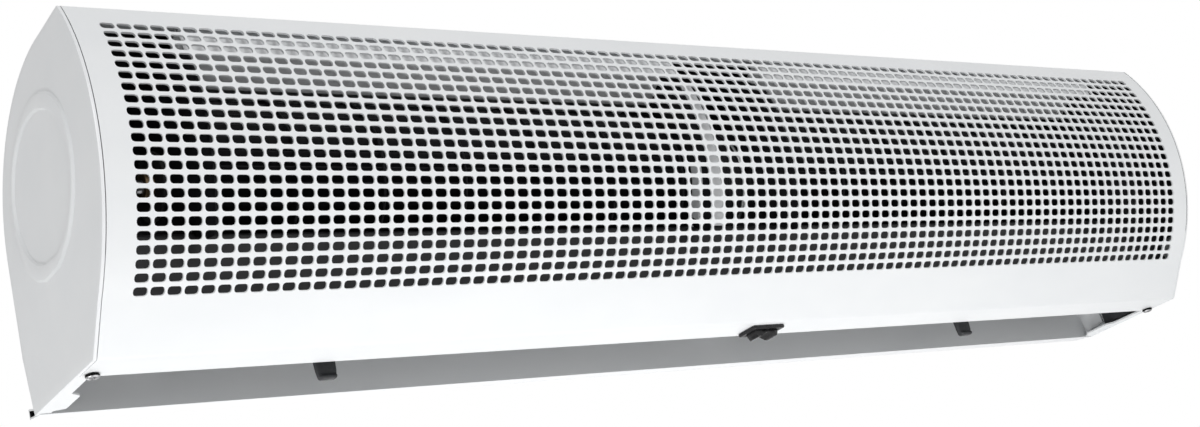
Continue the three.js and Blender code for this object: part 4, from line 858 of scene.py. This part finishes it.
# %% Hubs, axles, bearings, motor
PAIRS = (  # piece, solid, finish, body, corner radius, segments, profile of the right one
    ("hub", "drum_hub", "aluminium", "rotor", 0.5, 64,
     [(41.4, 4.1), (57.7, 4.1), (57.7, 13), (43.3, 13), (43.3, 22), (41.4, 22)]),
    ("axle", "fan_axle", "steel", "rotor", 0.015, 64,
     [(372.8, 0.02), (397.6, 0.02), (397.6, 4), (381.6, 4), (381.6, 22), (379.7, 22), (379.7, 13),
      (372.8, 13)]),
    ("sleeve", "bearing", "brass", "casing", 0.5, 64, [(382.5, 4.1), (394.5, 4.1), (394.5, 8), (382.5, 8)]),
    ("holder", "bearing_holder", "rubber", "casing", 0.7, 64,
     [(382.5, 8.1), (389.5, 8.1), (389.5, 20), (386.95, 20), (386.95, 17.5), (385.05, 17.5), (385.05, 20),
      (382.5, 20)]),
    ("ring", "motor_ring", "rubber", "casing", 0.7, 64,
     [(33.5, 12.1), (40.5, 12.1), (40.5, 18), (37.95, 18), (37.95, 15.5), (36.05, 15.5), (36.05, 18),
      (33.5, 18)]),
    ("winding", "motor_winding", "copper", "casing", 1.2, 64,
     [(12.4, 25), (16.4, 26), (16.4, 32), (14.4, 34), (12.4, 34)]),
    ("end_bell", "motor_end_bell", "aluminium", "casing", 0.8, 96,
     [(17.4, 33.2), (22, 28), (22, 4.1), (40.5, 4.1), (40.5, 12), (24.4, 12), (24.4, 29), (19.8, 38),
      (17.4, 38)]),
)
for side, name in SIDES:
    for label, solid, look, body, radius, segments, profile in PAIRS:
        profile = soft_corners([(side * x, r) for x, r in profile], radius)
        turned(f"{label}_{name}", profile, look, body, [f"{solid}_{name}"], *AXIS, segments)
can_places = np.linspace(-16.6, 16.6, 67)
can_ribs = 0.5 * (np.cos(can_places * 2 * math.pi / 5.5) > 0.2)
can_profile = np.vstack([[(-17, 35.7), (-17, 37.3)], np.stack([can_places, 37.45 + can_ribs], 1),
                         [(17, 37.3), (17, 35.7), (-17, 35.7)]])
# painted shade: the motor can is coloured near-black for the shade in the motor bay
turned("can", can_profile, "dark_paint", "casing", ["motor_can"], *AXIS, 96)
turned("rotor_core", [(-59.7, 0), (-59.7, 3.6), (-59.3, 4), (-12, 4), (-12, 21.5), (-11.5, 22), (11.5, 22),
                      (12, 21.5), (12, 4), (59.3, 4), (59.7, 3.6), (59.7, 0)], "steel", "rotor",
       ["motor_rotor"], *AXIS, 48)
print("turned parts done")

# %% Stator
tooth = np.arange(12)[:, None] * 30.0
steps = tooth + np.array([-9.6, -4.8, 0, 4.8, 9.6, 7.4, 8.0, 15.0, 22.0, 22.6])
radii = np.broadcast_to([22.6, 22.6, 22.6, 22.6, 22.6, 24.4, 30.0, 30.6, 30.0, 24.4], steps.shape)
inside = on_arc(AXIS, radii.ravel(), steps.ravel())
outside = on_arc(AXIS, 35.0, np.linspace(-9.6, 350.4, inside.shape[0], endpoint=False))
section = np.stack([inside, inside, outside, outside, inside])
xs = np.array([-12.0, 12.0, 12.0, -12.0, -12.0])[:, None]
grid = np.swapaxes(place(xs, section[..., 0], section[..., 1]), 0, 1)
wrapped("stator", grid, "steel", "casing", ["motor_stator"], closed=True)
print("stator with 12 teeth")

# %% [markdown]
# ## The vane, its tabs and its brackets
# The vane steers the sheet of air. Its section is a slim lens: half its thickness follows
# 0.55 + 1.05 (1 - t^2), with t from -1 at one edge to 1 at the other, and both edges are round.

# %% Vane
VANE_AXIS, VANE_HALF = (60.0, 25.0), 17.0
t = np.sin(np.linspace(-math.pi / 2, math.pi / 2, 19))
edge = np.clip((np.abs(t) - 0.965) / 0.035, 0, 1)
half_thick = (0.55 + 1.05 * (1 - t**2)) * np.sqrt(np.clip(1 - edge**2, 0, 1))
level = VANE_AXIS[1] + VANE_HALF * t
vane_loop = np.vstack([np.stack([VANE_AXIS[0] + half_thick, level], 1),
                       np.stack([VANE_AXIS[0] - half_thick, level], 1)[-2:0:-1]])
bar("vane", [-442.0, -441.6, 441.6, 442.0], vane_loop, VANE_AXIS, [0.93, 1.0, 1.0, 0.93],
    "vane_aluminium", "vane", ["outlet_vane"], 60)
for side, name in SIDES:
    pin = [(side * 440, 0), (side * 440, 2), (side * 445, 2), (side * 445.4, 1.6), (side * 445.4, 0)]
    turned(f"vane_pin_{name}", pin, "vane_aluminium", "vane", ["outlet_vane"], *VANE_AXIS, 24)
print("vane loop:", len(vane_loop), "points")

# %% [markdown]
# A finger tab is a stack of rounded rectangles, narrow at its tip. It has a raised edge at the front
# for the fingernail.

# %% Finger tabs
levels = np.array([-5.4, -5.2, -4.7, -4.0, -3.4, -2.8, -2.2, -1.0, 0.0, 6.0, 13.3, 13.8, 14.0])
tip = [-5.4, -5.2, -4.7, -4.0]
narrow = np.interp(levels, [*tip, 0, 13.3, 13.8, 14], [8.4, 9.6, 10.5, 11.0, 12.4, 14, 13.6, 13])
back_edge = np.interp(levels, [*tip, 13.3, 13.8, 14], [58.9, 58.3, 57.9, 57.6, 57.6, 57.8, 58.2])
front_edge = np.interp(levels, [*tip, -3.4, -2.8, -2.2, 13.3, 13.8, 14],
                       [62.4, 63.0, 63.35, 63.4, 63.3, 62.7, 62.4, 62.4, 62.2, 61.8])
for name, x in (("left", -295.0), ("right", 245.0)):
    loops = []
    for level, wide, rear, front in zip(levels, narrow, back_edge, front_edge):
        ring = round_box(wide, front - rear, min(1.3, (front - rear) / 2.2), 4)
        loops.append(place(x + ring[:, 0], (rear + front) / 2 + ring[:, 1], level))
    loft(f"tab_{name}", loops, "dark_plastic", "vane", [f"vane_tab_{name}"], crease=55)
print("tabs at x = -295 and 245")

# %% Vane brackets
corners = [(55, 3.3), (74, 3.3), (74, 34), (66, 42), (44, 42), (36, 34), (36, 3.3), (55, 3.3)]
bracket_loop = rounded(corners, [2.0, 3.0, 3.0, 3.0, 3.0, 2.0], 4)[:-1]
for side, name in SIDES:
    bar(f"bracket_{name}", side * np.array([444.0, 444.4, 447.2, 447.6]), bracket_loop, (55.0, 22.0),
        [0.98, 1, 1, 0.98], "dark_plastic", "casing", [f"vane_bracket_{name}"])
    boss = [(side * 443, 2.1), (side * 444.3, 2.1), (side * 444.3, 5), (side * 443, 5)]
    turned(f"bracket_boss_{name}", soft_corners(boss, 0.3), "dark_plastic", "casing",
           [f"vane_bracket_{name}"], *VANE_AXIS, 32)
print("brackets done")

# %% [markdown]
# ## The rocker switch
# The housing is one stack of rounded rectangles: down the body, out over the bezel, and back up into
# the well. The rocker's face dips in the middle and rises to a lobe at each end.

# %% Switch housing
SWITCH = (17.0, 89.0)
stack = [(22.4, 13.4, 1.2, 20.6), (23.2, 14.2, 1.6, 20.2), (23.2, 14.2, 1.6, -0.4), (27.6, 17.6, 1.8, -0.4),
         (28.0, 18.0, 2.0, -0.6), (28.0, 18.0, 2.0, -1.5), (27.5, 17.5, 1.8, -2.1), (26.5, 16.5, 1.6, -2.4),
         (21.8, 12.8, 0.9, -2.4), (21.1, 12.1, 0.7, -2.2), (20.8, 11.8, 0.6, -1.7), (20.8, 11.8, 0.6, 6.6)]
loops = []
for wide, deep, radius, level in stack:
    ring = round_box(wide, deep, radius, 4)
    loops.append(place(SWITCH[0] + ring[:, 0], SWITCH[1] + ring[:, 1], level))
loft("switch_body", loops, "black_plastic", "casing", ["switch_housing"], crease=32)
for side, name in SIDES:
    ring, size = round_box(0.8, 6.3, 0.3, 2), np.array([1, 1, 0.7])[:, None]
    points = place(SWITCH[0] + side * 5.8 + ring[:, 0] * size, SWITCH[1] + ring[:, 1] * size,
                   np.array([18.0, 28.2, 29.6])[:, None])
    loft(f"blade_{name}", points, "brass", "casing", [f"switch_terminal_{name}"])
print("housing stack:", len(stack), "loops")

# %% Rocker
ROCKER_HALF = 9.3
x = np.linspace(-ROCKER_HALF, ROCKER_HALF, 41)
face = -3.8 - 2.7 * np.sin(np.pi * np.clip(np.abs(x) / ROCKER_HALF, 0, 1) * 0.62) ** 2
face[[0, -1]] = -3.9
face[[1, -2]] = -5.0
face[[2, -3]] = -5.55
back = np.array([(ROCKER_HALF, 1.2), (3.1, 4.2), (-3.1, 4.2), (-ROCKER_HALF, 1.2)])
rocker_loop = np.vstack([np.stack([x, face], 1), back])
centre = rocker_loop.mean(axis=0)
deep = np.array([-5.4, -5.15, -4.7, 4.7, 5.15, 5.4])[:, None]
shrink = np.array([0.94, 0.98, 1.0, 1.0, 0.98, 0.94])[:, None, None]
loops = centre + (rocker_loop - centre) * shrink
loft("rocker", place(SWITCH[0] + loops[..., 0], SWITCH[1] + deep, loops[..., 1]), "black_plastic", "rocker",
     ["switch_rocker"], crease=40)
print("rocker face from", face.max(), "to", face.min())

# %% [markdown]
# ## Screws
# A pan head with a cross recess takes very few faces: a polar grid of the head, whose points along
# four directions are pressed in.

# %% Screws
COVER_SCREW = (442.1, 81.0)  # x and depth
head_radius = np.array([0, 0.5, 1.2, 2.1, 3.0, 3.8, 4.0, 3.9])
head_rise = np.array([2.4, 2.4, 2.38, 2.3, 2.0, 1.3, 0.6, 0.0])
head_angle = np.radians(np.arange(0, 360, 22.5))
arm = (np.arange(16) % 4 == 0)[:, None] & (head_radius < 2.5)[None, :] | (head_radius < 0.6)[None, :]
pressed = head_rise[None, :] - 1.5 * arm
u = head_radius[None, :] * np.cos(head_angle)[:, None]
v = head_radius[None, :] * np.sin(head_angle)[:, None]
for side, name in SIDES:
    points = place(side * COVER_SCREW[0] + u, COVER_SCREW[1] + v, -0.4 - pressed)
    head = wrapped(f"cover_screw_head_{name}", points, "steel", "casing", [f"cover_screw_{name}"],
                   crease=42, flip=True)
    # painted shade: the bottom of the cross recess and the head's edge by the sheet are coloured near-black
    mark_shaded_faces(head, 2, lambda normal, centre: centre[:, 2] > -0.0778)
    turned(f"cover_screw_shank_{name}", [(-0.5, 0), (-0.5, 2), (6.8, 2), (7.6, 0.4), (7.6, 0)], "steel",
           "casing", [f"cover_screw_{name}"], COVER_SCREW[1], 0, 12, axis="upright",
           x=side * COVER_SCREW[0])
for name, x in (("left_end", -380.0), ("left_motor", -43.0), ("right_motor", 43.0), ("right_end", 380.0)):
    for level, height in (("low", 54.0), ("high", 80.0)):
        points = place(x + u, 8.6 - pressed, height + v)
        wrapped(f"{name}_head_{level}", points, "steel", "casing", [f"{name}_screw_{level}"],
                crease=42, flip=True)
        turned(f"{name}_shank_{level}", [(8.5, 0), (8.5, 2), (11.8, 2), (12.2, 1.4), (12.2, 0)], "steel",
               "casing", [f"{name}_screw_{level}"], 0, height, 12, axis="depth", x=x)
print("ten screws")

# %% [markdown]
# ## The wall plate
# The unit hangs on two hooks of a zinc-coated plate, which is screwed to the wall through two
# keyholes. A keyhole can be seen whole from the middle of its round end, so a ring of quads about
# that point fits between it and the square cell around it.

# %% Wall plate
def keyhole_radius(angle, big=6.0, small=3.2, rise=14.4):
    """Distance from the big hole's centre to the keyhole's edge, straight up being 90 degrees:
    the big circle, or the slot's side at small / |cos a|, or the small circle at the slot's end."""
    c, s = np.cos(angle), np.sin(angle)
    end = rise * s + np.sqrt(np.clip(small**2 - (rise * c) ** 2, 0, None))
    side_limit = small / np.maximum(np.abs(c), 1e-6)
    inside_end = small**2 > (rise * c) ** 2
    slot = np.where(inside_end, end, side_limit)
    return np.where((s > 0) & (side_limit * s <= rise + small), np.maximum(big, slot), big)


angle = np.radians(np.concatenate([np.arange(-45, 45, 9), np.arange(45, 76, 6), np.linspace(78, 102, 17),
                                   np.arange(105, 136, 6), np.arange(144, 315, 9)]))
KEYHOLE_X, HANGER_SHEET = 290, 1.5
cell_up, cell_down, cell_wide = 41.0, 17.0, 29.0
corners = [math.atan2(up, out) for up in (cell_up, -cell_down) for out in (cell_wide, -cell_wide)]
angle = np.unique(np.concatenate([angle % (2 * math.pi), np.array(corners) % (2 * math.pi)]))
c, s = np.cos(angle), np.sin(angle)
limit = np.minimum(cell_wide / np.maximum(np.abs(c), 1e-9),
                   np.where(s > 0, cell_up, cell_down) / np.maximum(np.abs(s), 1e-9))
for side, name in SIDES:
    radius = np.stack([keyhole_radius(angle), limit])
    rows = np.swapaxes(place(side * KEYHOLE_X + radius * c, 0.0, 64 + radius * s), 0, 1)
    wrapped(f"keyhole_{name}", rows, "zinc_sheet", "casing", ["wall_plate"], thickness=HANGER_SHEET)
    hook = rounded([(0.2, 84.0), (13.5, 84.0), (13.5, 94.0)], [2.4], 5)
    sheet(f"hook_{name}", hook, [side * HOOK_X - 20.0, side * HOOK_X + 20.0], "zinc_sheet", ["wall_plate"],
          thickness=HANGER_SHEET)
plate_line = np.vstack([rounded([(5, 44), (0, 44), (0, 47)], [2.2], 4),
                        rounded([(0, 105), (0, 108), (5, 108)], [2.2], 4)])
plate_x = np.array([-320.0, -319.0, -261.0, 261.0, 319.0, 320.0])
keep = np.ones((5, len(plate_line) - 1), bool)
keep[[1, 3], len(plate_line) // 2 - 1] = False
sheet("plate_web", plate_line, plate_x, "zinc_sheet", ["wall_plate"], keep, thickness=HANGER_SHEET,
      flip=True)
print("keyhole's slot ends", float(keyhole_radius(np.radians([90.0]))[0]), "mm above its round end")

# %% [markdown]
# ## Cable grommet and electric parts
# The right end bay holds the capacitor under its strap and a terminal block with four poles. The
# supply cord would enter through the grommet.

# %% Electric parts
CAPACITOR, POLE_SCREW = (72.0, 149.0), 0.62  # depth and height; a pole's screw against a pan head
lips = [(6.8, 4.5), (12.4, 4.5), (12.4, 8.6), (10.6, 10.2), (10.6, 8), (8.6, 8), (8.6, 10.2), (6.8, 8.6)]
turned("grommet", soft_corners(lips, 0.5), "rubber", "casing", ["cable_grommet"], 0, GROMMET[1], 48,
       axis="depth", x=GROMMET[0])
bar("capacitor_case", [387.15, 387.9, 406.0, 406.8, 407.15], round_box(40.0, 26.0, 3.0, 5) + CAPACITOR,
    CAPACITOR, [0.97, 1.0, 1.0, 0.985, 0.95], "pale_plastic", "casing", ["capacitor"])
strap = rounded([(387.3, 129.8), (387.3, 135.5), (407.9, 135.5), (407.9, 162.5), (387.3, 162.5),
                 (387.3, 168.4)], [0.8, 2.6, 2.6, 0.8], 4)
points = place(strap[None, :, 0], np.array([67.6, 76.4])[:, None], strap[None, :, 1])
piece("strap", points, grid_quads(2, len(strap)), "zinc_sheet", stands_for=["capacitor_strap"],
      thickness=0.9, flip=True)
block = rounded([(10.6, 76), (10.6, 68), (17.6, 68), (17.6, 71.5), (24.6, 71.5), (24.6, 80.5), (17.6, 80.5),
                 (17.6, 84), (10.6, 84), (10.6, 76)], [0.5, 0.8, 0.4, 0.8, 0.8, 0.4, 0.8, 0.5], 2)[:-1]
pole = 8.0 * np.arange(4)
bar("terminal_strip", np.sort(np.concatenate([401 + pole + d for d in (0.15, 0.5, 7.5, 7.85)])), block,
    (17.0, 76.0), [0.93, 1.0, 1.0, 0.93] * 4, "pale_plastic", "casing", ["terminal_block"])
for i in range(4):
    points = place(405 + pole[i] + POLE_SCREW * u, 22.6 + POLE_SCREW * pressed, 76 + POLE_SCREW * v)
    wrapped(f"pole_screw_{i}", points, "brass", "casing", ["terminal_block"], crease=42)
print("electric parts done")
